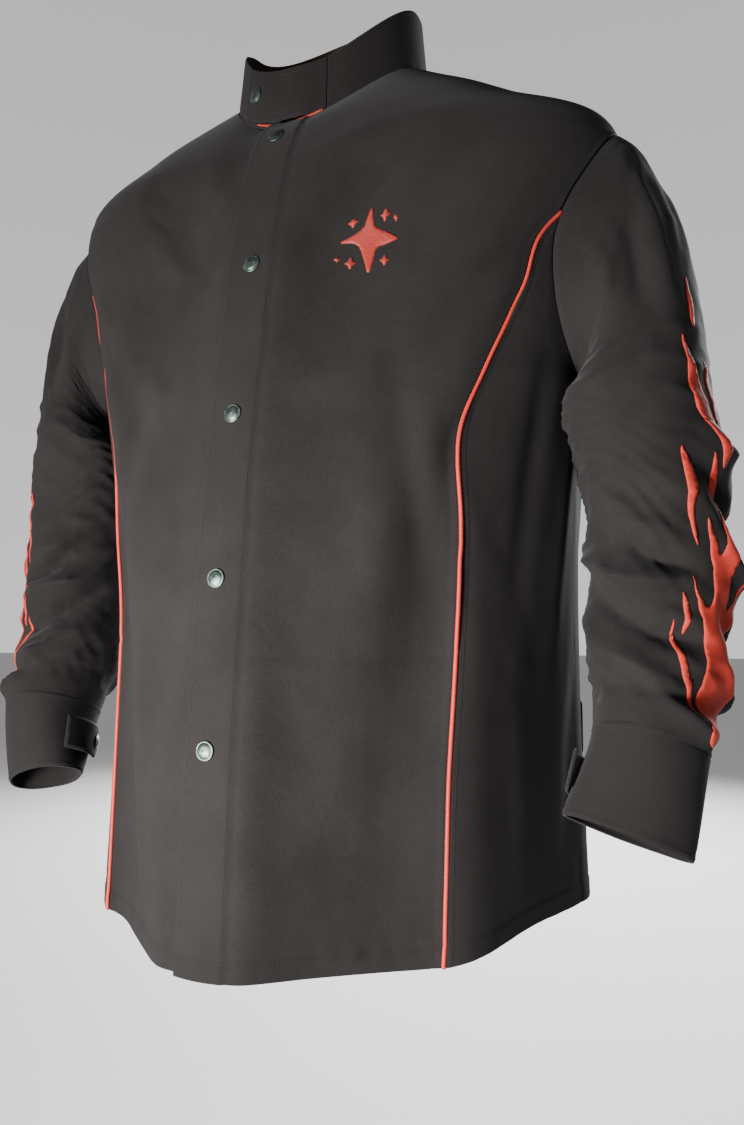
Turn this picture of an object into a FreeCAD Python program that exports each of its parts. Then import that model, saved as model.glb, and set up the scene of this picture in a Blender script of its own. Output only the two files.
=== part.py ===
"""Welding jacket: heavy flame-resistant cloth, stand collar, snap front, princess seams with piping,
two-piece sleeves, snap cuffs and waist tabs.

Frame, in millimetres: +Z up, -Y to the wearer's front, +X to the wearer's left. The origin is the
centre of the neck opening, where the jacket is held up by a neck or a hanger.
"""
import FreeCAD, Part
import Sketcher
import math
import os

from FreeCAD import Placement, Rotation, Vector

doc = FreeCAD.newDocument("welding_jacket")

# --------------------------------------------------------------------------------------------
# Driving dimensions
# --------------------------------------------------------------------------------------------

DIMENSIONS = [
    ("cloth_thickness", 2.0),
    ("seam_gap", 1.0),
    ("chest_half_width", 262.0),
    ("waist_half_width", 228.0),
    ("hem_half_width", 232.0),
    ("neck_half_width", 93.0),
    ("front_hem_height", -736.0),
    ("placket_width", 40.0),
    ("front_overlap", 20.0),
    ("under_placket_half_width", 24.0),
    ("front_fold_height", -340.0),
    ("under_placket_depth", 5.0),
    ("collar_front_height", 50.0),
    ("collar_back_height", 70.0),
    ("piping_diameter", 3.5),
    ("piping_channel", 7.0),
    ("armhole_half_depth", 80.0),
    ("armhole_half_height", 112.0),
    ("armhole_centre_back", 12.0),
    ("armhole_centre_height", -167.0),
    ("snap_cap_diameter", 15.0),
    ("snap_cap_height", 2.6),
    ("snap_ring_diameter", 13.0),
    ("snap_ring_height", 1.2),
    ("snap_ring_bore", 8.0),
    ("snap_pin_diameter", 5.4),
    ("snap_pin_height", 1.3),
    ("snap_base_height", 0.8),
    ("first_snap_height", -67.0),
    ("snap_spacing", 127.5),
    ("tab_thickness", 2.0),
    ("cuff_tab_length", 62.0),
    ("cuff_tab_width", 32.0),
    ("waist_tab_length", 74.0),
    ("waist_tab_width", 44.0),
    ("tab_standoff", 2.6),
    ("loop_span", 64.0),
    ("loop_drop", 22.0),
    ("loop_strip", 6.0),
    ("label_width", 48.0),
    ("label_tall", 26.0),
    ("label_thickness", 0.8),
]

sheet = doc.addObject("Spreadsheet::Sheet", "Sizes")
for row, (alias, value) in enumerate(DIMENSIONS, start=1):
    sheet.set("A%d" % row, alias)
    sheet.set("B%d" % row, str(value))
    sheet.setAlias("B%d" % row, alias)
doc.recompute()


def size(alias):
    """Value of one named cell of the sheet, in millimetres."""
    return float(getattr(sheet, alias))


THICKNESS = size("cloth_thickness")
GAP = size("seam_gap")
SIDES = (("left", 1.0), ("right", -1.0))
subparts = []


def register(obj, label):
    """Give a sub-part the label that names its file, and keep it for the export."""
    obj.Label = label
    subparts.append(obj)
    return obj


# --------------------------------------------------------------------------------------------
# Shape of the body: rings from the neck seam to the hem
# --------------------------------------------------------------------------------------------
# Each ring: height at the centre front, at the side and at the centre back, half width, depth to
# the front and to the back, and the exponent of its front and back half (2 is an ellipse).

BODY_RINGS = [
    (-42, 35, 80, size("neck_half_width"), 90, 86, 2.0, 2.0),
    (-62, 14, 52, 132, 108, 102, 1.9, 2.1),
    (-102, -18, 10, 198, 126, 118, 1.9, 2.3),
    (-160, -50, -60, 258, 142, 132, 1.95, 2.5),
    (-232, -130, -150, size("chest_half_width"), 156, 142, 1.9, 2.5),
    (-310, -275, -280, 238, 170, 150, 1.8, 2.4),
    (-420, -410, -410, 230, 184, 152, 1.7, 2.35),
    (-570, -565, -565, size("waist_half_width"), 196, 156, 1.68, 2.35),
    (size("front_hem_height"), -724, -726, size("hem_half_width"), 204, 160, 1.65, 2.35),
]
LAST_RING = len(BODY_RINGS) - 1


def blend_rows(rows, position):
    """Catmull-Rom interpolation between table rows, position counted in rows."""
    last = len(rows) - 1
    position = min(max(position, 0.0), float(last))
    low = min(int(position), last - 1)
    part = position - low
    before = rows[max(low - 1, 0)]
    first = rows[low]
    second = rows[low + 1]
    after = rows[min(low + 2, last)]
    if low == 0:
        before = [2 * a - b for a, b in zip(first, second)]
    if low == last - 1:
        after = [2 * b - a for a, b in zip(first, second)]
    row = []
    for p0, p1, p2, p3 in zip(before, first, second, after):
        slope = (p2 - p0) * part
        square = (2 * p0 - 5 * p1 + 4 * p2 - p3) * part ** 2
        cube = (3 * p1 - p0 - 3 * p2 + p3) * part ** 3
        row.append(0.5 * (2 * p1 + slope + square + cube))
    return row


def body_point(angle, ring):
    """Point of the body cloth: angle in degrees about +Z from +X (front is -90), ring by index."""
    front_z, side_z, back_z, wide, front, back, front_power, back_power = blend_rows(BODY_RINGS, ring)
    cosine = math.cos(math.radians(angle))
    sine = math.sin(math.radians(angle))
    depth, power, middle_z = (front, front_power, front_z) if sine < 0 else (back, back_power, back_z)
    radius = (abs(cosine / wide) ** power + abs(sine / depth) ** power) ** (-1.0 / power)
    height = side_z + (middle_z - side_z) * abs(sine) ** 1.7
    return Vector(radius * cosine, radius * sine, height)


def body_inward(angle, ring):
    """Unit normal of the body cloth, pointing to the wearer."""
    step = 0.5
    around = body_point(angle + step, ring) - body_point(angle - step, ring)
    ring_step = 0.02
    upper = body_point(angle, max(ring - ring_step, 0))
    down = body_point(angle, min(ring + ring_step, LAST_RING)) - upper
    return around.cross(down).normalize()


def ring_at_front(height):
    """Ring position where the centre front is at this height."""
    low, high = 0.0, float(LAST_RING)
    for _ in range(40):
        middle = (low + high) / 2
        if body_point(-90, middle).z > height:
            low = middle
        else:
            high = middle
    return (low + high) / 2


# Piping seam of the wearer's left: (ring, angle) from the shoulder through the armhole to the hem.
PIPING_SEAM = [
    (0.0, 3.0), (2.4, 3.0), (3.2, 0.0), (4.1, -13.9), (4.3, -20.3), (4.55, -22.0), (4.9, -27.7),
    (5.4, -34.5), (6.0, -34.0), (6.6, -35.5), (7.2, -37.6), (8.0, -39.0),
]
PIPING_TOP_RING = 4.1
BACK_SEAM = [
    (0.0, 3.0), (2.4, 3.0), (3.2, 3.5), (4.0, 16.0), (4.6, 31.0), (5.4, 36.0), (6.6, 37.5), (8.0, 38.0),
]
YOKE_RING = 3.3
PLACKET_TOP_RING = 0.12
SIDE_PANEL_TOP_RING = 3.5
PANEL_SPLIT = 0.02


def seam_angle(seam, ring):
    """Angle of a seam at a ring position, smoothly interpolated."""
    rings = [row[0] for row in seam]
    low = max(i for i, value in enumerate(rings) if value <= ring + 1e-9)
    if low >= len(seam) - 1:
        return seam[-1][1]
    position = low + (ring - rings[low]) / (rings[low + 1] - rings[low])
    return blend_rows([(row[1],) for row in seam], position)[0]


def angle_at_x(x, ring):
    """Angle near the centre front where the cloth passes a given x."""
    depth = -body_point(-90, ring).y
    return -90 + math.degrees(math.atan2(x, depth))


def beside_seam(seam, ring, distance):
    """Angle of the line that runs beside a seam at a true distance, positive to the back."""
    step = 0.1
    low = max(ring - step, 0.0)
    high = min(ring + step, float(LAST_RING))
    angle = seam_angle(seam, ring)
    point = body_point(angle, ring)
    radius = math.hypot(point.x, point.y)
    run = math.radians(seam_angle(seam, high) - seam_angle(seam, low)) * radius
    fall = (body_point(angle, high) - body_point(angle, low)).Length
    return angle + math.degrees(distance * math.hypot(1.0, run / fall) / radius)


# --------------------------------------------------------------------------------------------
# Cloth solids
# --------------------------------------------------------------------------------------------


def surface_through(grid):
    surface = Part.BSplineSurface()
    surface.interpolate(grid)
    return surface


def cloth_solid(outer_grid, inner_grid):
    """Closed solid between two four-sided grids of points."""
    outer = surface_through(outer_grid)
    inner = surface_through(inner_grid)
    faces = [outer.toShape(), inner.toShape()]
    edges = []
    for surface in (outer, inner):
        u_low, u_high, v_low, v_high = surface.bounds()
        edges.append([
            surface.uIso(u_low).toShape(), surface.uIso(u_high).toShape(),
            surface.vIso(v_low).toShape(), surface.vIso(v_high).toShape(),
        ])
    for outer_edge, inner_edge in zip(*edges):
        faces.append(Part.makeRuledSurface(outer_edge, inner_edge))
    skin = Part.Compound(faces)
    skin.sewShape(0.01)
    solid = Part.Solid(skin.Shells[0])
    if solid.Volume < 0:
        solid.reverse()
    return solid


def cloth_panel(label, start_angle, end_angle, first_ring, last_ring, depth=0.0, columns=13, rows=25):
    """Panel of body cloth between two seam functions of the ring position."""
    outer = []
    inner = []
    for row in range(rows):
        ring = first_ring + (last_ring - first_ring) * row / (rows - 1)
        start = start_angle(ring)
        end = end_angle(ring)
        outer_row = []
        inner_row = []
        for column in range(columns):
            angle = start + (end - start) * column / (columns - 1)
            point = body_point(angle, ring)
            inward = body_inward(angle, ring)
            outer_row.append(point + inward * depth)
            inner_row.append(point + inward * (depth + THICKNESS))
        outer.append(outer_row)
        inner.append(inner_row)
    return add_cloth(label, cloth_solid(outer, inner))


def add_cloth(label, shape):
    feature = doc.addObject("Part::Feature", label)
    feature.Shape = shape
    feature.Placement = Placement()
    return register(feature, label)


def mirrored_angle(angle, side):
    """Angle of the same seam on the wearer's other side."""
    return angle if side > 0 else -180 - angle


def armhole_cutter(side):
    """Elliptical prism along X that opens the armhole on one side."""
    centre = Vector(side * 180, size("armhole_centre_back"), size("armhole_centre_height"))
    tall = size("armhole_half_height")
    deep = size("armhole_half_depth")
    outline = Part.Ellipse(
        centre + Vector(0, 0, tall), centre + Vector(0, deep, 0), centre)
    face = Part.Face(Part.Wire(outline.toShape()))
    return face.extrude(Vector(side * 150, 0, 0))


def open_armhole(feature, side):
    cutter = armhole_cutter(side)
    feature.Shape = feature.Shape.cut(cutter)
    feature.Placement = Placement()


def build_body():
    fold_ring = ring_at_front(size("front_fold_height"))
    edge = size("front_overlap")
    inner_edge = size("placket_width") - edge
    channel = size("piping_channel") / 2
    under_depth = size("under_placket_depth")
    under_half = size("under_placket_half_width")
    split = PANEL_SPLIT / 2

    for name, side in SIDES:
        # The wearer's left front laps over the right one, so its placket is the outer strip.
        inner_x = side * (inner_edge + GAP)
        if side < 0:
            inner_x = -(edge + GAP)

        def near_edge(ring, x=inner_x):
            return angle_at_x(x, ring)

        def front_seam(ring, side=side):
            return mirrored_angle(beside_seam(PIPING_SEAM, ring, -channel), side)

        def side_seam(ring, side=side):
            return mirrored_angle(beside_seam(PIPING_SEAM, ring, channel), side)

        def back_seam(ring, side=side):
            return mirrored_angle(beside_seam(BACK_SEAM, ring, -GAP / 2), side)

        chest = cloth_panel(name + "_chest_panel", near_edge, front_seam, 0.0, fold_ring - split,
                            rows=31)
        open_armhole(chest, side)
        cloth_panel(name + "_front_panel", near_edge, front_seam, fold_ring + split, LAST_RING)
        side_panel = cloth_panel(name + "_side_panel", side_seam, back_seam, SIDE_PANEL_TOP_RING, LAST_RING,
                                 rows=31)
        open_armhole(side_panel, side)

        strip_depth = 0.0 if side > 0 else under_depth
        strip_start, strip_end = (-edge, inner_edge) if side > 0 else (-under_half, under_half)

        def strip_from(ring, x=strip_start):
            return angle_at_x(x, ring)

        def strip_to(ring, x=strip_end):
            return angle_at_x(x, ring)

        cloth_panel(name + "_placket_upper", strip_from, strip_to, PLACKET_TOP_RING, fold_ring - split,
                    depth=strip_depth, columns=5)
        cloth_panel(name + "_placket_lower", strip_from, strip_to, fold_ring + split, LAST_RING,
                    depth=strip_depth, columns=5)

    def back_start(ring):
        return beside_seam(BACK_SEAM, ring, GAP / 2)

    def back_end(ring):
        return 180 - back_start(ring)

    yoke = cloth_panel("back_yoke", back_start, back_end, 0.0, YOKE_RING - split, columns=25,
                       rows=13)
    back = cloth_panel("back_panel", back_start, back_end, YOKE_RING + split, LAST_RING, columns=25)
    for feature in (yoke, back):
        for _, side in SIDES:
            open_armhole(feature, side)


def loft_tube(label, rings_of_points, inner_rings=None):
    """Loft through closed rings, hollow where inner rings are given."""

    def loft(rings):
        wires = []
        for points in rings:
            curve = Part.BSplineCurve()
            curve.interpolate(points, PeriodicFlag=True)
            wires.append(Part.Wire(curve.toShape()))
        return Part.makeLoft(wires, True, False)

    shape = loft(rings_of_points)
    if inner_rings:
        shape = shape.cut(loft(inner_rings))
    return add_cloth(label, shape)


def build_piping():
    """Covered cord in the princess seam, from the armhole to the hem."""
    radius = size("piping_diameter") / 2
    spans = 22
    for name, side in SIDES:
        rings = []
        for index in range(spans + 1):
            ring = PIPING_TOP_RING + (LAST_RING - PIPING_TOP_RING) * index / spans
            angle = mirrored_angle(seam_angle(PIPING_SEAM, ring), side)
            centre = body_point(angle, ring) + body_inward(angle, ring) * (THICKNESS / 2)
            next_ring = min(ring + 0.05, LAST_RING)
            last_ring = max(ring - 0.05, PIPING_TOP_RING)
            ahead = body_point(mirrored_angle(seam_angle(PIPING_SEAM, next_ring), side), next_ring)
            behind = body_point(mirrored_angle(seam_angle(PIPING_SEAM, last_ring), side), last_ring)
            along = (ahead - behind).normalize()
            out = body_inward(angle, ring) * -1
            across_way = along.cross(out).normalize()
            out = across_way.cross(along).normalize()
            points = []
            for step in range(12):
                turn = 2 * math.pi * step / 12
                points.append(centre + out * (radius * math.cos(turn))
                              + across_way * (radius * math.sin(turn)))
            rings.append(points)
        loft_tube(name + "_piping", rings)


# --------------------------------------------------------------------------------------------
# Sleeves
# --------------------------------------------------------------------------------------------
# Each ring: x and z of its armpit side, x and z of its outer side, y of its centre, its half depth
# from front to back, the lift of its front edge per unit depth, and its turn about its own axis in
# degrees.

SLEEVE_RINGS = [
    (241, -275, 253, -59, 12, 78, 0.0, 0),
    (242, -281, 288, -78, 14, 77, 0.0, 0),
    (243, -288, 313, -132, 18, 75, 0.0, 0),
    (245, -297, 331, -222, 22, 72, 0.0, 0),
    (244, -314, 341, -292, 22, 69, 0.0, 0),
    (243, -362, 353, -356, 18, 66, 0.03, 0),
    (244, -440, 355, -440, 4, 60, 0.12, 0),
    (243, -508, 349, -512, -14, 55, 0.28, 0),
    (250, -568, 336, -580, -42, 46, 0.36, 8),
    (226, -626, 330, -652, -66, 31, 0.36, 20),
]
CAP_END, UPPER_END, ELBOW_END, FOREARM_END, CUFF_END = 3, 4.5, 6.3, 8, 9
# Turn about the cuff of its snap, in degrees: 90 is the front, 180 the inner side, 270 the back.
CUFF_SNAP_TURN = 222.0


def sleeve_axes(position):
    """Centre, outward and forward half axes of a sleeve ring on the wearer's left."""
    in_x, in_z, out_x, out_z, middle_y, deep, lift, turn = blend_rows(SLEEVE_RINGS, position)
    centre = Vector((in_x + out_x) / 2, middle_y, (in_z + out_z) / 2)
    outward = Vector((out_x - in_x) / 2, 0, (out_z - in_z) / 2)
    forward = Vector(0, -deep, lift * deep)
    spin = Rotation(outward.cross(forward), -turn)
    return centre, spin.multVec(outward), spin.multVec(forward)


def sleeve_ring(position, side, inset=0.0, count=28):
    centre, outward, forward = sleeve_axes(position)
    outward = outward * (1 - inset / outward.Length)
    forward = forward * (1 - inset / forward.Length)
    points = []
    for step in range(count):
        turn = 2 * math.pi * step / count
        point = centre + outward * math.cos(turn) + forward * math.sin(turn)
        points.append(Vector(side * point.x, point.y, point.z))
    return points


def build_sleeves():
    sections = [
        ("sleeve_cap", 0, CAP_END), ("upper_sleeve", CAP_END, UPPER_END),
        ("elbow_section", UPPER_END, ELBOW_END), ("forearm_sleeve", ELBOW_END, FOREARM_END),
        ("cuff", FOREARM_END, CUFF_END),
    ]
    trim = 0.012
    for name, side in SIDES:
        for section, first, last in sections:
            steps = max(2, round(2 * (last - first)))
            stations = [first + (last - first) * i / steps for i in range(steps + 1)]
            stations[0] += trim if first else 0.0
            stations[-1] -= trim
            outer = [sleeve_ring(station, side) for station in stations]
            stations[0] -= trim / 2
            stations[-1] += trim / 2
            inner = [sleeve_ring(station, side, THICKNESS) for station in stations]
            loft_tube("%s_%s" % (name, section), outer, inner)


# --------------------------------------------------------------------------------------------
# Collar
# --------------------------------------------------------------------------------------------

COLLAR_HINGE_ANGLE = -68.0
COLLAR_TAB_END = -122.0
COLLAR_BAND_END = 264.0
TAB_LIFT = 5.6


def collar_point(angle, rise, outward=0.0):
    """Point of the stand collar: rise runs from 0 at the neck seam to 1 at the top edge."""
    seam = body_point(angle, 0)
    back_share = (1 + math.sin(math.radians(angle))) / 2
    front_tall = size("collar_front_height")
    tall = front_tall + (size("collar_back_height") - front_tall) * back_share
    lean = 1 - 0.05 * rise + outward / math.hypot(seam.x, seam.y)
    return Vector(seam.x * lean, seam.y * lean, seam.z + 1.5 + (tall - 1.5) * rise)


def collar_patch(label, first, last, offset, thickness, columns):
    """Strip of collar cloth; offset gives the distance outside the band at each angle."""
    grids = []
    for layer in (0.0, thickness):
        grid = []
        for row in range(5):
            points = []
            for column in range(columns):
                angle = first + (last - first) * column / (columns - 1)
                points.append(collar_point(angle, row / 4, offset(angle) - layer))
            grid.append(points)
        grids.append(grid)
    return add_cloth(label, cloth_solid(*grids))


def tab_offset(angle):
    """Distance of the collar tab's outer face outside the band, rising away from its seam."""
    share = min((COLLAR_HINGE_ANGLE - angle) / 20.0, 1.0)
    return TAB_LIFT * share * share * (3 - 2 * share)


def build_collar():
    half = THICKNESS / 2

    def band(angle):
        return 0.0

    def lining(angle):
        return -half - 0.3

    collar_patch("collar_band", COLLAR_HINGE_ANGLE + 0.5, COLLAR_BAND_END, band, half, 41)
    collar_patch("collar_lining", COLLAR_HINGE_ANGLE + 0.5, COLLAR_BAND_END, lining, half, 41)
    collar_patch("collar_tab", COLLAR_HINGE_ANGLE - 0.5, COLLAR_TAB_END, tab_offset, THICKNESS, 17)


# --------------------------------------------------------------------------------------------
# Snaps: revolved masters, linked wherever a snap sits
# --------------------------------------------------------------------------------------------


def plane_of(body, role):
    for feature in body.Origin.OriginFeatures:
        if feature.Role == role:
            return feature


def revolved_body(name, profile, bindings):
    """PartDesign body revolved about its Z axis from a closed profile of (radius, height)."""
    body = doc.addObject("PartDesign::Body", name)
    sketch = body.newObject("Sketcher::SketchObject", name + "_profile")
    sketch.AttachmentSupport = [(plane_of(body, "XZ_Plane"), "")]
    sketch.MapMode = "FlatFace"
    corners = len(profile)
    for index, (radius, height) in enumerate(profile):
        next_radius, next_height = profile[(index + 1) % corners]
        line = Part.LineSegment(Vector(radius, height, 0), Vector(next_radius, next_height, 0))
        sketch.addGeometry(line, False)
    for index in range(corners):
        sketch.addConstraint(
            Sketcher.Constraint("Coincident", index, 2, (index + 1) % corners, 1))
    for index, axis, expression in bindings:
        radius, height = profile[index]
        kind = "DistanceX" if axis == "r" else "DistanceY"
        value = radius if axis == "r" else height
        number = sketch.addConstraint(Sketcher.Constraint(kind, -1, 1, index, 1, value))
        sketch.setExpression("Constraints[%d]" % number, expression)
    turn = body.newObject("PartDesign::Revolution", name + "_turn")
    turn.Profile = sketch
    turn.ReferenceAxis = (sketch, ["V_Axis"])
    turn.Angle = 360
    body.Tip = turn
    doc.recompute()
    return body


def build_snap_masters():
    """Cap, socket ring, stud with its pin, and the flat post behind the stud."""
    cap_radius = size("snap_cap_diameter") / 2
    cap_tall = size("snap_cap_height")
    cap = revolved_body(
        "snap_cap_master",
        [(0, 0), (cap_radius, 0), (cap_radius, 0.8), (cap_radius * 0.8, cap_tall * 0.8),
         (cap_radius * 0.45, cap_tall * 0.97), (0, cap_tall)],
        [(1, "r", "Sizes.snap_cap_diameter / 2"), (2, "r", "Sizes.snap_cap_diameter / 2"),
         (5, "z", "Sizes.snap_cap_height")])
    ring_radius = size("snap_ring_diameter") / 2
    bore = size("snap_ring_bore") / 2
    ring_tall = size("snap_ring_height")
    socket = revolved_body(
        "snap_socket_master",
        [(bore, 0), (ring_radius, 0), (ring_radius, ring_tall), (bore, ring_tall)],
        [(0, "r", "Sizes.snap_ring_bore / 2"), (1, "r", "Sizes.snap_ring_diameter / 2"),
         (2, "z", "Sizes.snap_ring_height"), (3, "z", "Sizes.snap_ring_height")])
    pin = size("snap_pin_diameter") / 2
    base_tall = size("snap_base_height")
    stud_tall = base_tall + size("snap_pin_height")
    stud = revolved_body(
        "snap_stud_master",
        [(0, 0), (ring_radius, 0), (ring_radius, base_tall), (pin, base_tall), (pin, stud_tall),
         (0, stud_tall)],
        [(1, "r", "Sizes.snap_ring_diameter / 2"), (2, "z", "Sizes.snap_base_height"),
         (4, "r", "Sizes.snap_pin_diameter / 2"),
         (5, "z", "Sizes.snap_base_height + Sizes.snap_pin_height")])
    return cap, socket, stud


def snap_frame(point, outward, depth):
    """Placement with local +Z along the outward normal, a depth inside the surface."""
    return Placement(point - outward * depth, Rotation(Vector(0, 0, 1), outward))


def linked_group(label, master, placements):
    """Copies of a master, one separate solid at each placement, as a single node."""
    links = []
    for index, placement in enumerate(placements):
        link = doc.addObject("App::Link", "%s_%d" % (label, index + 1))
        link.LinkedObject = master
        link.Placement = placement
        links.append(link)
    group = doc.addObject("Part::Compound", label)
    group.Links = links
    return register(group, label)


def front_snap_places():
    """Point and outward normal of each snap of the front."""
    places = []
    for index in range(5):
        height = size("first_snap_height") - index * size("snap_spacing")
        ring = ring_at_front(height)
        places.append((body_point(-90, ring), body_inward(-90, ring) * -1))
    return places


def build_front_snaps(cap, socket, stud):
    places = front_snap_places()
    under = size("under_placket_depth")
    ring_tall = size("snap_ring_height")
    clearance = 0.3
    for level, chosen in (("upper", places[:3]), ("lower", places[3:])):
        caps = [snap_frame(point, out, -clearance) for point, out in chosen]
        sockets = [snap_frame(point, out, THICKNESS + ring_tall + clearance)
                   for point, out in chosen]
        studs = [snap_frame(point, out, under - clearance) for point, out in chosen]
        linked_group("front_snap_caps_" + level, cap, caps)
        linked_group("front_snap_sockets_" + level, socket, sockets)
        linked_group("front_snap_studs_" + level, stud, studs)


def build_collar_snap(cap, socket, stud):
    angle = -113.0
    middle = collar_point(angle, 0.5)
    around = collar_point(angle + 2, 0.5) - collar_point(angle - 2, 0.5)
    upward = collar_point(angle, 0.6) - collar_point(angle, 0.4)
    out = around.cross(upward).normalize()
    surface = collar_point(angle, 0.5, TAB_LIFT)
    clearance = 0.5
    depth = THICKNESS + size("snap_ring_height") + clearance
    linked_group("collar_snap_cap", cap, [snap_frame(surface, out, -clearance)])
    linked_group("collar_snap_socket", socket, [snap_frame(surface, out, depth)])
    linked_group("collar_snap_stud", stud, [snap_frame(middle, out, -clearance)])


# --------------------------------------------------------------------------------------------
# Snap tabs of the cuffs and of the waist
# --------------------------------------------------------------------------------------------


def tab_body(label, length, width, pointed):
    """Flat strap along local +X from its hinge edge, face normal local +Z."""
    body = doc.addObject("PartDesign::Body", label)
    sketch = body.newObject("Sketcher::SketchObject", label + "_outline")
    sketch.AttachmentSupport = [(plane_of(body, "XY_Plane"), "")]
    sketch.MapMode = "FlatFace"
    long = size(length)
    half = size(width) / 2
    shoulder = long - half * (0.75 if pointed else 0.3)
    outline = [(0, -half), (shoulder, -half), (long, -half * 0.35), (long, half * 0.35),
               (shoulder, half), (0, half)]
    corners = len(outline)
    for index, (x, y) in enumerate(outline):
        next_x, next_y = outline[(index + 1) % corners]
        sketch.addGeometry(Part.LineSegment(Vector(x, y, 0), Vector(next_x, next_y, 0)), False)
    for index in range(corners):
        sketch.addConstraint(
            Sketcher.Constraint("Coincident", index, 2, (index + 1) % corners, 1))
    for index in (2, 3):
        number = sketch.addConstraint(
            Sketcher.Constraint("DistanceX", -1, 1, index, 1, outline[index][0]))
        sketch.setExpression("Constraints[%d]" % number, "Sizes.%s" % length)
    for index in (4, 5):
        number = sketch.addConstraint(
            Sketcher.Constraint("DistanceY", -1, 1, index, 1, outline[index][1]))
        sketch.setExpression("Constraints[%d]" % number, "Sizes.%s / 2" % width)
    pad = body.newObject("PartDesign::Pad", label + "_pad")
    pad.Profile = sketch
    pad.setExpression("Length", "Sizes.tab_thickness")
    body.Tip = pad
    doc.recompute()
    return body


def tab_set(label, length, width, pointed, root, along, out, masters):
    """Strap with its cap and socket, and the stud that it snaps on to."""
    cap, socket, stud = masters
    along = along.normalize()
    out = (out - along * out.dot(along)).normalize()
    sideways = out.cross(along)
    turn = Rotation(along, sideways, out, "ZXY")
    body = tab_body(label, length, width, pointed)
    body.Placement = Placement(root, turn)
    register(body, label)
    strap = size("tab_thickness")
    reach = size(length) - size(width) * 0.45
    snap = root + along * reach
    ring_tall = size("snap_ring_height")
    linked_group(label + "_snap_cap", cap, [Placement(snap + out * (strap + 0.05), turn)])
    linked_group(label + "_snap_socket", socket, [Placement(snap - out * (ring_tall + 0.05), turn)])
    linked_group(label + "_stud", stud, [Placement(snap - out * size("tab_standoff"), turn)])


def cuff_frame():
    """Snap point on the inner back of the left cuff, its outward normal and the strap's run."""
    turn = math.radians(CUFF_SNAP_TURN)

    def cuff_point(position, angle):
        centre, outward, forward = sleeve_axes(position)
        return centre + outward * math.cos(angle) + forward * math.sin(angle)

    middle = FOREARM_END + 0.5
    point = cuff_point(middle, turn)
    along = (cuff_point(middle, turn + 0.1) - cuff_point(middle, turn - 0.1)).normalize()
    down = cuff_point(middle + 0.2, turn) - cuff_point(middle - 0.2, turn)
    out = down.cross(along).normalize()
    if out.x > 0:
        out = out * -1
    return point, out, along


def waist_frame():
    """Middle of the left waist tab, its outward normal and the strap's run to the back."""
    angle = 20.0
    ring = 7.05
    out = body_inward(angle, ring) * -1
    along = Vector(-out.y, out.x, 0).normalize()
    return body_point(angle, ring), out, along


def mirrored(vector, side):
    return Vector(side * vector.x, vector.y, vector.z)


def build_tabs(masters):
    stand = size("tab_standoff") + 0.4
    for name, side in SIDES:
        point, out, along = cuff_frame()
        reach = size("cuff_tab_length") - size("cuff_tab_width") * 0.45
        root = point + out * stand - along * reach
        tab_set(name + "_cuff_tab", "cuff_tab_length", "cuff_tab_width", True,
                mirrored(root, side), mirrored(along, side), mirrored(out, side), masters)
        point, out, along = waist_frame()
        root = point + out * stand - along * (size("waist_tab_length") / 2)
        tab_set(name + "_waist_tab", "waist_tab_length", "waist_tab_width", False,
                mirrored(root, side), mirrored(along, side), mirrored(out, side), masters)


# --------------------------------------------------------------------------------------------
# Inside of the neck: hanger loop and blank size label
# --------------------------------------------------------------------------------------------


# Distances inside the back of the neck, and the label's lean about X in degrees.
LOOP_INSET = 11.0
LABEL_INSET = 16.0
LABEL_TILT = 12.0


def build_neck_trim():
    span = size("loop_span")
    drop = size("loop_drop")
    strip = size("loop_strip")
    back = collar_point(90, 0.35, -THICKNESS - 1.0)
    outer = doc.addObject("Part::Box", "loop_outer")
    inner = doc.addObject("Part::Box", "loop_inner")
    outer.setExpression("Length", "Sizes.loop_span")
    outer.setExpression("Height", "Sizes.loop_drop")
    outer.Width = THICKNESS
    inner.setExpression("Length", "Sizes.loop_span - 2 * Sizes.loop_strip")
    inner.setExpression("Height", "Sizes.loop_drop - Sizes.loop_strip")
    inner.Width = THICKNESS + 4
    corner = Vector(back.x - span / 2, back.y - LOOP_INSET, back.z - drop / 2)
    outer.Placement = Placement(corner, Rotation())
    inner.Placement = Placement(corner + Vector(strip, -2, -0.01), Rotation())
    loop = doc.addObject("Part::Cut", "hanger_loop")
    loop.Base = outer
    loop.Tool = inner
    register(loop, "hanger_loop")

    label = doc.addObject("Part::Box", "neck_label")
    label.setExpression("Length", "Sizes.label_width")
    label.setExpression("Width", "Sizes.label_thickness")
    label.setExpression("Height", "Sizes.label_tall")
    wide = size("label_width")
    low = body_point(90, 0.3)
    corner = Vector(-wide / 2, low.y - LABEL_INSET, low.z - size("label_tall"))
    label.Placement = Placement(corner, Rotation(Vector(1, 0, 0), LABEL_TILT))
    register(label, "neck_label")


# --------------------------------------------------------------------------------------------
# Build, check and write
# --------------------------------------------------------------------------------------------

build_body()
build_piping()
build_sleeves()
build_collar()
snap_masters = build_snap_masters()
build_front_snaps(*snap_masters)
build_collar_snap(*snap_masters)
build_tabs(snap_masters)
build_neck_trim()
doc.recompute()

for obj in doc.Objects:
    if "Invalid" in obj.State or "Error" in obj.State:
        raise RuntimeError("%s did not build" % obj.Label)
for obj in subparts:
    if obj.Shape.isNull() or not obj.Shape.isValid():
        raise RuntimeError("%s has no valid shape" % obj.Label)

os.makedirs("parts", exist_ok=True)
for obj in subparts:
    obj.Shape.exportStep("parts/%s.step" % obj.Label)
print("%d sub-parts written" % len(subparts))
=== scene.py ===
"""Looks of the welding jacket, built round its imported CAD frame.

The cloth is a set of point grids, in millimetres until a mesh is made. Each grid starts on the
same surface as the CAD panels, gets its drape from Blender's cloth solver, and is then refined
and given its seams, hems, stitches, piping and snaps.
"""
import math

import bpy
import numpy as np
from mathutils import Matrix, Vector, geometry


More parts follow.
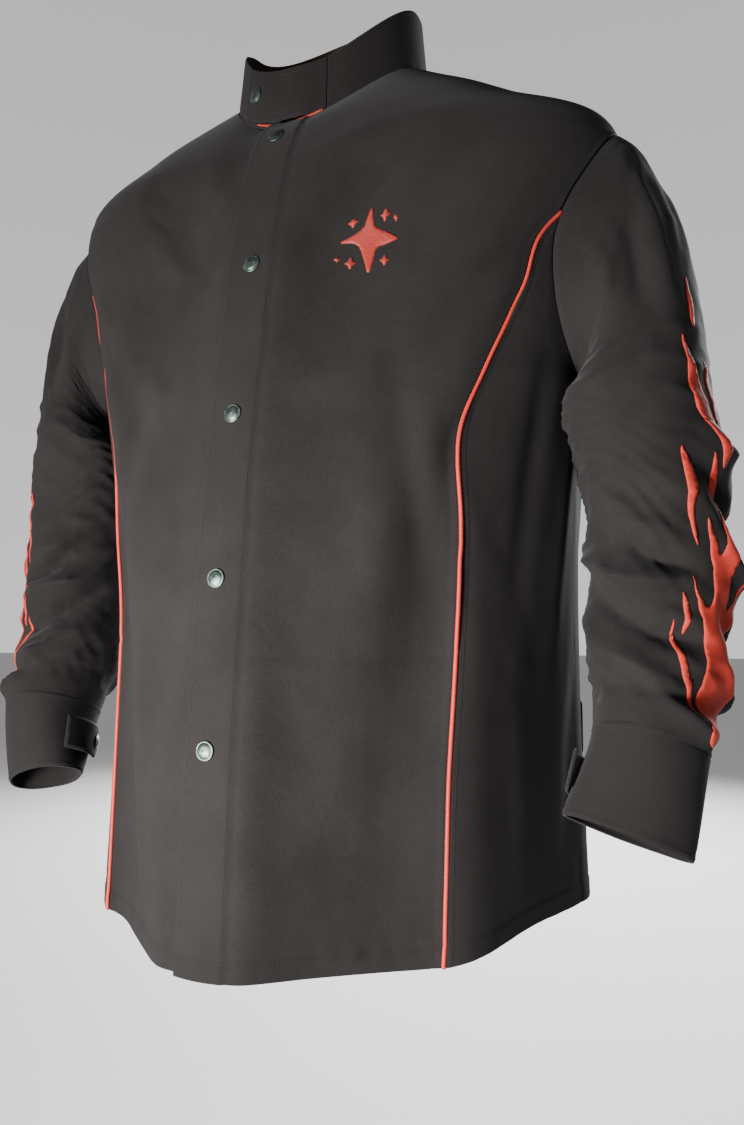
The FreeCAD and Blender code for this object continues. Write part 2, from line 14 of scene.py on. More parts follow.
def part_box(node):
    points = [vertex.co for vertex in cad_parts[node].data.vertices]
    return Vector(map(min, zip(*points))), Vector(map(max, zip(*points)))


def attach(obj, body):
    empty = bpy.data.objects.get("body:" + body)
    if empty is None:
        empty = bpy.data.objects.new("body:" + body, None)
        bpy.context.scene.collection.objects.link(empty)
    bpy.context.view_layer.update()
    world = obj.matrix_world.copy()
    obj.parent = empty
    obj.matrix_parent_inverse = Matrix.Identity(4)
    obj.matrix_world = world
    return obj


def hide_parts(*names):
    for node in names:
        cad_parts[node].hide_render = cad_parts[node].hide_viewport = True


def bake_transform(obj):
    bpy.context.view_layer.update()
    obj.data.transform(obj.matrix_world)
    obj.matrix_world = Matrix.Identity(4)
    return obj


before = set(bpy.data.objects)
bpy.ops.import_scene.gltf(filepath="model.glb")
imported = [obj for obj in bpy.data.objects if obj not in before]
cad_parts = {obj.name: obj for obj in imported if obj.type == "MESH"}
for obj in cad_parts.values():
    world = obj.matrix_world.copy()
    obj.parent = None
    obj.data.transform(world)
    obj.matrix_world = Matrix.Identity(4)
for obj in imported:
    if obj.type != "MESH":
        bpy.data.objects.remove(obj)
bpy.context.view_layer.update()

MM = 0.001
SIDES = (("left", 1.0), ("right", -1.0))
FRONT = -90.0
rng = np.random.default_rng(7)

# --------------------------------------------------------------------------------------------
# Surface of the body, as in the CAD model
# --------------------------------------------------------------------------------------------
# Height at the centre front, the side and the centre back, half width, depths to the front and
# back, and the two section exponents.

BODY_RINGS = np.array([
    (-42, 35, 80, 93, 90, 86, 2.0, 2.0),
    (-62, 14, 52, 132, 108, 102, 1.9, 2.1),
    (-102, -18, 10, 198, 126, 118, 1.9, 2.3),
    (-160, -50, -60, 258, 142, 132, 1.95, 2.5),
    (-232, -130, -150, 262, 156, 142, 1.9, 2.5),
    (-310, -275, -280, 238, 170, 150, 1.8, 2.4),
    (-420, -410, -410, 230, 184, 152, 1.7, 2.35),
    (-570, -565, -565, 228, 196, 156, 1.68, 2.35),
    (-736, -724, -726, 232, 204, 160, 1.65, 2.35),
], float)
LAST_RING = len(BODY_RINGS) - 1


def rows_at(table, position):
    """Catmull-Rom interpolation between table rows; position may be an array."""
    table = np.asarray(table, float)
    last = len(table) - 1
    padded = np.vstack([2 * table[0] - table[1], table, 2 * table[-1] - table[-2]])
    position = np.clip(np.asarray(position, float), 0, last)
    low = np.minimum(position.astype(int), last - 1)
    part = (position - low)[..., None]
    p0, p1, p2, p3 = (padded[low + k] for k in range(4))
    return 0.5 * (2 * p1 + (p2 - p0) * part + (2 * p0 - 5 * p1 + 4 * p2 - p3) * part ** 2
                  + (3 * p1 - p0 - 3 * p2 + p3) * part ** 3)


def body_point(angle, ring):
    """Points of the body cloth for angles in degrees (front -90, wearer's left 0) and rings."""
    angle, ring = np.broadcast_arrays(np.asarray(angle, float), np.asarray(ring, float))
    front_z, side_z, back_z, wide, front, back, front_power, back_power = np.moveaxis(
        rows_at(BODY_RINGS, ring), -1, 0)
    cosine = np.cos(np.radians(angle))
    sine = np.sin(np.radians(angle))
    ahead = sine < 0
    depth = np.where(ahead, front, back)
    power = np.where(ahead, front_power, back_power)
    middle_z = np.where(ahead, front_z, back_z)
    radius = (np.abs(cosine / wide) ** power + np.abs(sine / depth) ** power) ** (-1 / power)
    height = side_z + (middle_z - side_z) * np.abs(sine) ** 1.7
    return np.stack([radius * cosine, radius * sine, height], -1)


def ring_at_front(height):
    rings = np.linspace(0, LAST_RING, 4000)
    heights = body_point(FRONT, rings)[:, 2]
    return float(np.interp(-height, -heights, rings))


PIPING_SEAM = np.array([
    (0.0, 3.0), (2.4, 3.0), (3.2, 0.0), (4.1, -13.9), (4.3, -20.3), (4.55, -22.0), (4.9, -27.7),
    (5.4, -34.5), (6.0, -34.0), (6.6, -35.5), (7.2, -37.6), (8.0, -39.0),
])
PIPING_TOP = 4.1
BACK_SEAM = np.array([
    (0.0, 3.0), (2.4, 3.0), (3.2, 3.5), (4.0, 16.0), (4.6, 31.0), (5.4, 36.0), (6.6, 37.5), (8.0, 38.0),
])
ARMHOLE_Y, ARMHOLE_Z = 12.0, -167.0
ARMHOLE_DEEP, ARMHOLE_TALL = 80.0, 112.0


def seam_angle(seam, ring):
    rings = seam[:, 0]
    ring = min(max(ring, rings[0]), rings[-1])
    low = min(int(np.searchsorted(rings, ring, side="right")) - 1, len(seam) - 2)
    position = low + (ring - rings[low]) / (rings[low + 1] - rings[low])
    return float(rows_at(seam[:, 1:2], position)[0])


def angle_at_x(x, ring):
    depth = -body_point(FRONT, ring)[1]
    return FRONT + math.degrees(math.atan2(x, depth))


def solve(function, low, high):
    """Root of a function that is positive at low and negative at high."""
    for _ in range(50):
        middle = (low + high) / 2
        if function(middle) > 0:
            low = middle
        else:
            high = middle
    return (low + high) / 2


def outside_armhole(angle, ring):
    _, y, z = body_point(angle, ring)
    return ((y - ARMHOLE_Y) / ARMHOLE_DEEP) ** 2 + ((z - ARMHOLE_Z) / ARMHOLE_TALL) ** 2 - 1


def arm_line(ring):
    """Angle where the body passes the middle of the armhole."""
    return solve(lambda angle: ARMHOLE_Y - body_point(angle, ring)[1], -20.0, 30.0)


ARM_TOP = solve(lambda ring: outside_armhole(arm_line(ring), ring), 2.0, 4.0)
ARM_BOTTOM = solve(lambda ring: -outside_armhole(arm_line(ring), ring), 4.0, 6.0)


def armhole_angle(ring, to_front):
    """Angle of the armhole's front or back edge at a ring."""
    middle = arm_line(ring)
    if ring <= ARM_TOP or ring >= ARM_BOTTOM:
        return middle
    far = middle - 60 if to_front else middle + 60
    return solve(lambda angle: outside_armhole(angle, ring), far, middle)


BACK_SEAM_TOP = solve(
    lambda ring: armhole_angle(ring, False) - seam_angle(BACK_SEAM, ring), 4.0, 4.9)

# --------------------------------------------------------------------------------------------
# Panels of the body as grids of (angle, ring)
# --------------------------------------------------------------------------------------------

PLACKET_EDGE = 20.0
UNDER_EDGE = 24.0
YOKE_RING = 3.3
ROW_COUNTS = (6, 9, 10, 12, 13, 13, 15, 16)


def ring_rows():
    """Ring positions of the grid rows, with rows where seams start and close rows at the hem."""
    rows = [0.0]
    for ring, count in enumerate(ROW_COUNTS):
        rows += [ring + (i + 1) / count for i in range(count)]
    rows = np.array(rows)
    for special in (ARM_TOP, PIPING_TOP, BACK_SEAM_TOP, ARM_BOTTOM, YOKE_RING):
        rows[np.argmin(np.abs(rows - special))] = special
    rows = rows[rows < 7.9]
    return np.concatenate([rows, [7.92, 7.955, 7.98, 8.0]])


ROWS = ring_rows()


def spread(count, close=3):
    """Column positions from 0 to 1, closer together near both ends."""
    inner = np.linspace(0, 1, count)
    step = inner[1]
    ends = [step * f for f in (0.18, 0.45)][:close - 1]
    return np.unique(np.round(np.concatenate([inner, ends, [1 - e for e in ends]]), 6))


def mirror_angle(angle, side):
    return angle if side > 0 else -180 - angle


def front_outer(ring):
    """Outer edge of a front panel on the wearer's left: shoulder seam, armhole, piping seam."""
    if ring <= ARM_TOP:
        return arm_line(ring)
    if ring < PIPING_TOP + 1e-9:
        return armhole_angle(ring, True)
    blend_share = min((ring - PIPING_TOP) / 0.2, 1.0)
    gap = armhole_angle(PIPING_TOP, True) - seam_angle(PIPING_SEAM, PIPING_TOP)
    return seam_angle(PIPING_SEAM, ring) + gap * (1 - blend_share)


def back_outer(ring):
    """Outer edge of the back on the wearer's left."""
    if ring <= ARM_TOP:
        return arm_line(ring)
    if ring < BACK_SEAM_TOP:
        return armhole_angle(ring, False)
    return seam_angle(BACK_SEAM, ring)


def angle_grid(rows, start, end, columns):
    first = np.array([start(ring) for ring in rows])[:, None]
    last = np.array([end(ring) for ring in rows])[:, None]
    angles = first + (last - first) * columns[None, :]
    rings = np.repeat(np.asarray(rows)[:, None], len(columns), 1)
    return angles, rings


def body_panels():
    """Name, angles and rings of every body panel."""
    panels = {}
    for name, side in SIDES:
        edge = -PLACKET_EDGE if side > 0 else UNDER_EDGE

        def near(ring, x=edge):
            return angle_at_x(x, ring)

        def outer(ring, side=side):
            return mirror_angle(front_outer(ring), side)

        def lower_front(ring, side=side):
            if ring < ARM_BOTTOM:
                return mirror_angle(armhole_angle(ring, True), side)
            return mirror_angle(arm_line(ring), side)

        def lower_back(ring, side=side):
            if ring < ARM_BOTTOM:
                return mirror_angle(armhole_angle(ring, False), side)
            return mirror_angle(arm_line(ring), side)

        def behind(ring, side=side):
            return mirror_angle(back_outer(ring), side)

        panels[name + "_front"] = angle_grid(ROWS, near, outer, spread(26))
        rows = ROWS[ROWS >= PIPING_TOP - 1e-9]
        panels[name + "_side_front"] = angle_grid(rows, outer, lower_front, spread(17))
        rows = ROWS[ROWS >= BACK_SEAM_TOP - 1e-9]
        panels[name + "_side_back"] = angle_grid(rows, lower_back, behind, spread(17))

    def right_back(ring):
        return 180 - back_outer(ring)

    panels["back"] = angle_grid(ROWS, back_outer, right_back, spread(42))
    return panels


# --------------------------------------------------------------------------------------------
# Grid tools
# --------------------------------------------------------------------------------------------


def spline_axis(grid, factor, closed):
    """Cubic B-spline refinement along the first axis."""
    count = len(grid)
    if closed:
        padded = np.concatenate([grid[-1:], grid, grid[:2]])
        spans = count
    else:
        padded = np.concatenate([2 * grid[:1] - grid[1:2], grid, 2 * grid[-1:] - grid[-2:-1]])
        spans = count - 1
    out = []
    for step in range(factor):
        t = step / factor
        weights = ((1 - t) ** 3 / 6, (3 * t ** 3 - 6 * t ** 2 + 4) / 6,
                   (-3 * t ** 3 + 3 * t ** 2 + 3 * t + 1) / 6, t ** 3 / 6)
        out.append(sum(w * padded[k:k + spans] for k, w in enumerate(weights)))
    fine = np.stack(out, 1).reshape((-1,) + grid.shape[1:])
    if not closed:
        fine = np.concatenate([fine, grid[-1:]])
    return fine


def refine(grid, factor, closed=False):
    """Finer grid through a grid of rows by columns; closed means closed round its columns."""
    grid = spline_axis(grid, factor, False)
    return np.swapaxes(spline_axis(np.swapaxes(grid, 0, 1), factor, closed), 0, 1)


def grid_normals(grid, closed=False):
    """Unit normals of a grid, towards the outside when columns run left to right seen outside."""
    down = np.gradient(grid, axis=0)
    if closed:
        around = (np.roll(grid, -1, 1) - np.roll(grid, 1, 1)) / 2
    else:
        around = np.gradient(grid, axis=1)
    normals = np.cross(down, around)
    length = np.linalg.norm(normals, axis=-1, keepdims=True)
    return normals / np.maximum(length, 1e-9)


BODY_AXIS = np.array([0, 10.0, 0])


def outward(grid, closed=False):
    """Unit normals that point away from the middle of the body or of the sleeve."""
    normals = grid_normals(grid, closed)
    axis = grid.mean(1, keepdims=True) if closed else BODY_AXIS
    away = (grid - axis) * (1, 1, 1 if closed else 0)
    return -normals if np.sum(normals * away) < 0 else normals


def grid_faces(rows, columns, closed=False, start=0):
    faces = []
    spans = columns if closed else columns - 1
    for row in range(rows - 1):
        for column in range(spans):
            right = (column + 1) % columns
            a = start + row * columns + column
            b = start + row * columns + right
            faces.append((a, a + columns, b + columns, b))
    return faces


def distances(grid, axis):
    """Distance run along an axis of the grid from its first line."""
    steps = np.linalg.norm(np.diff(grid, axis=axis), axis=-1)
    total = np.cumsum(steps, axis=axis)
    zero = np.zeros_like(np.take(total, [0], axis=axis))
    return np.concatenate([zero, total], axis=axis)


def smoothstep(value):
    value = np.clip(value, 0, 1)
    return value * value * (3 - 2 * value)


def add_folds(grid, normals, folds):
    """Soft ridges (positive height) and valleys along segments: start, end, width, height."""
    shift = np.zeros(grid.shape[:2])
    for start, end, width, height in folds:
        a = np.array(start, float)
        b = np.array(end, float)
        run = b - a
        share = np.clip(((grid - a) @ run) / (run @ run), 0, 1)
        gap = np.linalg.norm(grid - (a + share[..., None] * run), axis=-1)
        taper = np.sin(np.pi * np.clip(share * 0.94 + 0.03, 0, 1)) ** 0.6
        shift += height * taper * np.exp(-(gap / width) ** 2)
    return grid + normals * shift[..., None]


# --------------------------------------------------------------------------------------------
# Cloth solver
# --------------------------------------------------------------------------------------------


def drape(name, points, faces, rest, pins, frames, bending, gravity, pressure=0.0):
    """Settles a mesh whose rest shape is larger than its start, and returns its points in mm."""
    mesh = bpy.data.meshes.new(name)
    mesh.from_pydata((points * MM).tolist(), [], faces)
    cloth_object = bpy.data.objects.new(name, mesh)
    bpy.context.scene.collection.objects.link(cloth_object)
    cloth_object.shape_key_add(name="Basis")
    key = cloth_object.shape_key_add(name="Rest")
    key.data.foreach_set("co", (rest * MM).ravel())
    key.value = 0.0
    group = cloth_object.vertex_groups.new(name="held")
    for index, weight in enumerate(pins):
        if weight > 0:
            group.add([index], float(weight), "REPLACE")
    modifier = cloth_object.modifiers.new("Cloth", "CLOTH")
    settings = modifier.settings
    settings.quality = 6
    settings.mass = 0.35
    settings.tension_stiffness = 25
    settings.compression_stiffness = 25
    settings.shear_stiffness = 8
    settings.bending_stiffness = bending
    settings.tension_damping = 8
    settings.compression_damping = 8
    settings.shear_damping = 8
    settings.bending_damping = 2
    settings.air_damping = 4
    settings.vertex_group_mass = "held"
    settings.pin_stiffness = 4
    settings.rest_shape_key = key
    settings.effector_weights.gravity = gravity
    if pressure:
        settings.use_pressure = True
        settings.uniform_pressure_force = pressure
    modifier.collision_settings.use_collision = False
    modifier.point_cache.frame_start = 1
    modifier.point_cache.frame_end = frames
    scene = bpy.context.scene
    for number in range(1, frames + 1):
        scene.frame_set(number)
    evaluated = cloth_object.evaluated_get(bpy.context.evaluated_depsgraph_get())
    result = np.empty(len(points) * 3)
    evaluated.data.vertices.foreach_get("co", result)
    bpy.data.objects.remove(cloth_object)
    scene.frame_set(1)
    return result.reshape(-1, 3) / MM


# --------------------------------------------------------------------------------------------
# Materials
# --------------------------------------------------------------------------------------------


class Nodes:
    """Short form for building a node tree."""

    def __init__(self, name):
        self.material = bpy.data.materials.new(name)
        self.material.use_nodes = True
        self.tree = self.material.node_tree
        self.shader = self.tree.nodes["Principled BSDF"]

    def add(self, kind, inputs=(), **settings):
        node = self.tree.nodes.new(kind)
        for key, value in settings.items():
            setattr(node, key, value)
        for key, value in dict(inputs).items():
            if isinstance(value, bpy.types.NodeSocket):
                self.tree.links.new(value, node.inputs[key])
            else:
                node.inputs[key].default_value = value
        return node

    def link(self, source, target):
        self.tree.links.new(source, target)

    def math(self, operation, first, second):
        return self.add("ShaderNodeMath", {0: first, 1: second}, operation=operation).outputs[0]

    def ramp(self, source, stops):
        node = self.add("ShaderNodeValToRGB", {0: source})
        ramp = node.color_ramp
        while len(ramp.elements) < len(stops):
            ramp.elements.new(0.5)
        for element, (place, colour) in zip(ramp.elements, stops):
            element.position = place
            element.color = (*colour, 1)
        return node.outputs[0]

    def bump(self, height, strength, distance, before=None):
        inputs = {"Height": height, "Strength": strength, "Distance": distance}
        if before is not None:
            inputs["Normal"] = before
        return self.add("ShaderNodeBump", inputs).outputs[0]


def twill_material(name, dark, light, rough, sheen, period_mm=0.85):
    """Cotton twill: diagonal ribs, slubs in the yarn, a soft nap and worn, dusty patches."""
    n = Nodes(name)
    uv = n.add("ShaderNodeUVMap", uv_map="Cloth").outputs[0]
    place = n.add("ShaderNodeTexCoord").outputs["Object"]
    across = n.add("ShaderNodeMapping", {0: uv, "Rotation": (0, 0, math.radians(58))}).outputs[0]
    rib = n.add("ShaderNodeTexWave", {
        "Vector": across, "Scale": 1000.0 / period_mm / 20.0 * 6.2832,
        "Distortion": 0.6, "Detail": 2.0, "Detail Scale": 3.0}, wave_type="BANDS",
        bands_direction="X").outputs["Fac"]
    slub_space = n.add("ShaderNodeMapping", {0: uv, "Scale": (1300, 160, 1)}).outputs[0]
    slub = n.add("ShaderNodeTexNoise", {"Vector": slub_space, "Scale": 1.0, "Detail": 3.0}).outputs[0]
    weft_space = n.add("ShaderNodeMapping", {0: uv, "Scale": (190, 1500, 1)}).outputs[0]
    weft = n.add("ShaderNodeTexNoise", {"Vector": weft_space, "Scale": 1.0, "Detail": 3.0}).outputs[0]
    fuzz = n.add("ShaderNodeTexNoise", {"Vector": place, "Scale": 900.0, "Detail": 2.0}).outputs[0]
    dust = n.add("ShaderNodeTexNoise", {
        "Vector": place, "Scale": 14.0, "Detail": 8.0, "Roughness": 0.65}).outputs[0]
    patch = n.add("ShaderNodeTexNoise", {"Vector": place, "Scale": 3.5, "Detail": 3.0}).outputs[0]
    yarn = n.math("ADD", n.math("MULTIPLY", rib, 0.35), n.math("MULTIPLY", slub, 0.35))
    yarn = n.math("ADD", yarn, n.math("MULTIPLY", weft, 0.3))
    tone = n.math("ADD", n.math("MULTIPLY", yarn, 0.62), n.math("MULTIPLY", dust, 0.26))
    tone = n.math("ADD", tone, n.math("MULTIPLY", patch, 0.12))
    mid = tuple((a + b) / 2 for a, b in zip(dark, light))
    n.link(n.ramp(tone, [(0.30, dark), (0.52, mid), (0.74, light)]), n.shader.inputs["Base Color"])
    shine = n.add("ShaderNodeMapRange", {0: dust, 3: rough - 0.06, 4: rough + 0.06}).outputs[0]
    n.link(shine, n.shader.inputs["Roughness"])
    ribs = n.bump(rib, 0.35, 0.00022)
    yarns = n.bump(n.math("ADD", slub, weft), 0.35, 0.0003, ribs)
    nap = n.bump(fuzz, 0.25, 0.0003, yarns)
    n.link(n.bump(dust, 0.25, 0.0012, nap), n.shader.inputs["Normal"])
    n.shader.inputs["Sheen Weight"].default_value = sheen
    n.shader.inputs["Sheen Roughness"].default_value = 0.45
    n.shader.inputs["Specular IOR Level"].default_value = 0.04
    return n.material


def satin_material(name, dark, light, rough, rows_per_mm, sheen=0.35):
    """Satin-stitched or piped yarn: fine parallel threads along U, with a soft gloss."""
    n = Nodes(name)
    uv = n.add("ShaderNodeUVMap", uv_map="Cloth").outputs[0]
    place = n.add("ShaderNodeTexCoord").outputs["Object"]
    thread = n.add("ShaderNodeTexWave", {
        "Vector": uv, "Scale": rows_per_mm * 1000 / 20.0 * 6.2832, "Distortion": 1.2, "Detail": 2.0,
        "Detail Scale": 2.0}, wave_type="BANDS", bands_direction="Y").outputs["Fac"]
    long_space = n.add("ShaderNodeMapping", {0: uv, "Scale": (260, 1700, 1)}).outputs[0]
    strand = n.add("ShaderNodeTexNoise", {"Vector": long_space, "Scale": 1.0, "Detail": 3.0}).outputs[0]
    cloud = n.add("ShaderNodeTexNoise", {"Vector": place, "Scale": 45.0, "Detail": 4.0}).outputs[0]
    tone = n.math("ADD", n.math("MULTIPLY", thread, 0.3), n.math("MULTIPLY", strand, 0.4))
    tone = n.math("ADD", tone, n.math("MULTIPLY", cloud, 0.3))
    n.link(n.ramp(tone, [(0.3, dark), (0.7, light)]), n.shader.inputs["Base Color"])
    n.link(n.add("ShaderNodeMapRange", {0: cloud, 3: rough - 0.08, 4: rough + 0.08}).outputs[0],
           n.shader.inputs["Roughness"])
    ridges = n.bump(thread, 0.45, 0.0002)
    n.link(n.bump(strand, 0.4, 0.0002, ridges), n.shader.inputs["Normal"])
    n.shader.inputs["Sheen Weight"].default_value = sheen
    n.shader.inputs["Specular IOR Level"].default_value = 0.16
    return n.material


def metal_material(name, dark, light, rough):
    """Plated brass or steel with fine scratches, small pits and a little tarnish."""
    n = Nodes(name)
    place = n.add("ShaderNodeTexCoord").outputs["Object"]
    scratch_space = n.add("ShaderNodeMapping", {
        0: place, "Rotation": (0.4, 0.3, 0.9), "Scale": (3000, 260, 900)}).outputs[0]
    scratch = n.add("ShaderNodeTexNoise", {
        "Vector": scratch_space, "Scale": 1.0, "Detail": 4.0}).outputs[0]
    tarnish = n.add("ShaderNodeTexNoise", {"Vector": place, "Scale": 240.0, "Detail": 5.0}).outputs[0]
    pits = n.add("ShaderNodeTexVoronoi", {"Vector": place, "Scale": 1400.0}).outputs["Distance"]
    n.link(n.ramp(tarnish, [(0.35, dark), (0.65, light)]), n.shader.inputs["Base Color"])
    mixed = n.math("ADD", n.math("MULTIPLY", scratch, 0.5), n.math("MULTIPLY", tarnish, 0.5))
    n.link(n.add("ShaderNodeMapRange", {0: mixed, 3: rough - 0.1, 4: rough + 0.14}).outputs[0],
           n.shader.inputs["Roughness"])
    fine = n.bump(scratch, 0.12, 0.0001)
    n.link(n.bump(pits, 0.06, 0.0001, fine), n.shader.inputs["Normal"])
    n.shader.inputs["Metallic"].default_value = 1.0
    return n.material


def plain_material(name, colour, rough):
    """Studio floor: plain paint with the faintest unevenness."""
    n = Nodes(name)
    place = n.add("ShaderNodeTexCoord").outputs["Object"]
    cloud = n.add("ShaderNodeTexNoise", {"Vector": place, "Scale": 1.5, "Detail": 2.0}).outputs[0]
    light = tuple(min(1.0, c * 1.02) for c in colour)
    n.link(n.ramp(cloud, [(0.3, colour), (0.7, light)]), n.shader.inputs["Base Color"])
    n.shader.inputs["Roughness"].default_value = rough
    return n.material


CLOTH = twill_material("black_twill", (0.0024, 0.0021, 0.0021), (0.0104, 0.0092, 0.0090), 0.9, 0.02, 1.0)
LINING = twill_material("brown_lining", (0.010, 0.0055, 0.0042), (0.028, 0.016, 0.012), 0.88, 0.02, 0.7)
PIPING = satin_material("red_piping", (0.12, 0.006, 0.004), (0.22, 0.014, 0.009), 0.5, 1.0, 0.02)
FLAME = satin_material("red_embroidery", (0.13, 0.0072, 0.0042), (0.22, 0.016, 0.009), 0.8, 1.2, 0.0)
MARK = satin_material("red_mark", (0.07, 0.0045, 0.003), (0.13, 0.011, 0.007), 0.55, 1.2, 0.02)
THREAD = satin_material("black_thread", (0.0020, 0.0018, 0.0018), (0.0075, 0.0068, 0.0066), 0.85, 3.0, 0.0)
LABEL = twill_material("label_cloth", (0.10, 0.097, 0.09), (0.18, 0.174, 0.162), 0.8, 0.02, 0.5)
CAP_METAL = metal_material("dark_nickel", (0.022, 0.031, 0.027), (0.060, 0.076, 0.068), 0.46)
SNAP_METAL = metal_material("satin_nickel", (0.16, 0.16, 0.152), (0.30, 0.30, 0.29), 0.36)

# --------------------------------------------------------------------------------------------
# Motion of the pieces
# --------------------------------------------------------------------------------------------


def rides(body):
    return lambda piece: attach(piece, body)


def bends():
    return lambda piece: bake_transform(piece)


def front_motion():
    """Motion of a front: as with bends(), its transform is baked into its mesh."""
    return bends()


MOTION = {"torso": rides("torso")}
for side_name, side_sign in SIDES:
    MOTION[side_name + "_front"] = front_motion()
    MOTION[side_name + "_top"] = bends(
        )
    MOTION[side_name + "_forearm"] = bends(
        )


def finish_piece(piece, motion, nodes=()):
    """Replaced CAD nodes and motion of one finished piece."""
    if nodes:
        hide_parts(*nodes)
    motion(piece)
    return piece


# --------------------------------------------------------------------------------------------
# Meshes
# --------------------------------------------------------------------------------------------


def new_object(name, points, faces, materials, uv=None, smooth=True):
    mesh = bpy.data.meshes.new(name)
    mesh.from_pydata((np.asarray(points) * MM).tolist(), [], faces)
    for material in materials:
        mesh.materials.append(material)
    layer = mesh.uv_layers.new(name="Cloth")
    if uv is not None:
        loops = np.empty(len(mesh.loops), int)
        mesh.loops.foreach_get("vertex_index", loops)
        layer.data.foreach_set("uv", (np.asarray(uv)[loops] * MM).astype(np.float32).ravel())
    if smooth:
        mesh.polygons.foreach_set("use_smooth", np.ones(len(mesh.polygons), bool))
    mesh.update()
    piece = bpy.data.objects.new(name, mesh)
    bpy.context.scene.collection.objects.link(piece)
    return piece


def cloth_piece(name, grid, thickness, materials, closed=False, rim=True, v_start=None):
    """Panel of cloth from a fine grid, facing outwards and thickened to the inside."""
    rows, columns = grid.shape[:2]
    v_start = np.zeros(columns) if v_start is None else v_start
    if np.sum(grid_normals(grid, closed) * outward(grid, closed)) < 0:
        grid = grid[:, ::-1]
        v_start = v_start[::-1]
    u = distances(grid, 1)
    v = distances(grid, 0) + v_start
    wrap = None
    if closed:
        wrap = u[:, -1] + np.linalg.norm(grid[:, 0] - grid[:, -1], axis=-1)
    else:
        u = u - u.mean(1, keepdims=True)
    faces = grid_faces(rows, columns, closed)
    piece = new_object(name, grid.reshape(-1, 3), faces, materials, np.stack([u, v], -1).reshape(-1, 2))
    if closed:
        # The last column of faces closes the tube, so its first-column corners go on, not back.
        loops = piece.data.uv_layers["Cloth"].data
        for row in range(rows - 1):
            corner = (row * columns + columns - 1) * 4
            loops[corner + 2].uv[0] += wrap[row + 1] * MM
            loops[corner + 3].uv[0] += wrap[row] * MM
    solid = piece.modifiers.new("Thickness", "SOLIDIFY")
    solid.thickness = thickness * MM
    solid.offset = -1
    solid.material_offset = 1
    solid.use_rim = rim
    return piece


def tube_piece(name, line, normals, radius, material, sides=12):
    """Round cord along a polyline, with closed domed ends."""
    tangent = np.gradient(line, axis=0)
    tangent /= np.linalg.norm(tangent, axis=1, keepdims=True)
    across = np.cross(tangent, normals)
    across /= np.linalg.norm(across, axis=1, keepdims=True)
    up = np.cross(across, tangent)
    length = np.concatenate([[0], np.cumsum(np.linalg.norm(np.diff(line, axis=0), axis=1))])
    rings = []
    runs = []
    caps = [(-radius * 0.6, 0.35), (-radius * 0.35, 0.75)]
    for shift, scale in caps:
        rings.append((line[0] + tangent[0] * shift, across[0], up[0], scale))
        runs.append(0.0)
    for index in range(len(line)):
        rings.append((line[index], across[index], up[index], 1.0))
        runs.append(length[index])
    for shift, scale in reversed(caps):
        rings.append((line[-1] - tangent[-1] * shift, across[-1], up[-1], scale))
        runs.append(length[-1])
    turns = np.arange(sides) * 2 * math.pi / sides
    points = []
    uv = []
    for (centre, side_way, up_way, scale), run in zip(rings, runs):
        circle = centre + radius * scale * (np.outer(np.cos(turns), side_way)
                                            + np.outer(np.sin(turns), up_way))
        points.append(circle)
        uv += [(turn * radius, run) for turn in turns]
    faces = grid_faces(len(rings), sides, True)
    faces = [tuple(reversed(face)) for face in faces]
    count = len(rings) * sides
    faces.append(tuple(range(sides)))
    faces.append(tuple(reversed(range(count - sides, count))))
    return new_object(name, np.concatenate(points), faces, [material], uv)


class Stitches:
    """Rows of thread stitches collected into one piece."""

    def __init__(self):
        self.points = []
        self.faces = []
        self.uv = []

    def add(self, line, normals, pitch=3.1, length=2.35, radius=0.29, sink=0.08):
        steps = np.linalg.norm(np.diff(line, axis=0), axis=1)
        run = np.concatenate([[0], np.cumsum(steps)])
        count = int(run[-1] // pitch)
        if count < 1:
            return
        middles = (np.arange(count) + 0.5) * run[-1] / count
        line_at = np.stack([np.interp(middles, run, line[:, k]) for k in range(3)], 1)
        ahead = np.stack([np.interp(middles + 0.4, run, line[:, k]) for k in range(3)], 1)
        behind = np.stack([np.interp(middles - 0.4, run, line[:, k]) for k in range(3)], 1)
        up = np.stack([np.interp(middles, run, normals[:, k]) for k in range(3)], 1)
        along = ahead - behind
        along /= np.maximum(np.linalg.norm(along, axis=1, keepdims=True), 1e-9)
        side = np.cross(along, up)
        side /= np.maximum(np.linalg.norm(side, axis=1, keepdims=True), 1e-9)
        up = np.cross(side, along)
        profile = [(-0.5, 0.45, -0.5), (-0.34, 0.95, 0.25), (0.0, 1.0, 0.5), (0.34, 0.95, 0.25),
                   (0.5, 0.45, -0.5)]
        sides = 6
        turns = np.arange(sides) * 2 * math.pi / sides
        for middle, a, s, u in zip(line_at, along, side, up):
            start = len(self.points)
            for share, scale, lift in profile:
                centre = middle + a * share * length + u * (radius * lift - sink)
                for turn in turns:
                    self.points.append(centre + radius * scale
                                       * (s * math.cos(turn) + u * math.sin(turn)))
                    self.uv.append((turn * radius, share * length))
            faces = grid_faces(len(profile), sides, True, start)
            self.faces += [tuple(reversed(face)) for face in faces]
            self.faces.append(tuple(start + k for k in range(sides)))
            end = start + (len(profile) - 1) * sides
            self.faces.append(tuple(end + k for k in reversed(range(sides))))

    def build(self, name, material, motion, slot="jacket_cloth"):
        if not self.points:
            return None
        piece = new_object(name, np.array(self.points), self.faces, [material], self.uv)
        return finish_piece(piece, motion)


def line_beside_column(grid, normals, distance, from_last=False):
    """Line on the grid at a distance from its first or last column."""
    if from_last:
        grid = grid[:, ::-1]
        normals = normals[:, ::-1]
    run = distances(grid, 1)
    line = []
    up = []
    for row in range(len(grid)):
        line.append([np.interp(distance, run[row], grid[row, :, k]) for k in range(3)])
        up.append([np.interp(distance, run[row], normals[row, :, k]) for k in range(3)])
    return np.array(line), np.array(up)


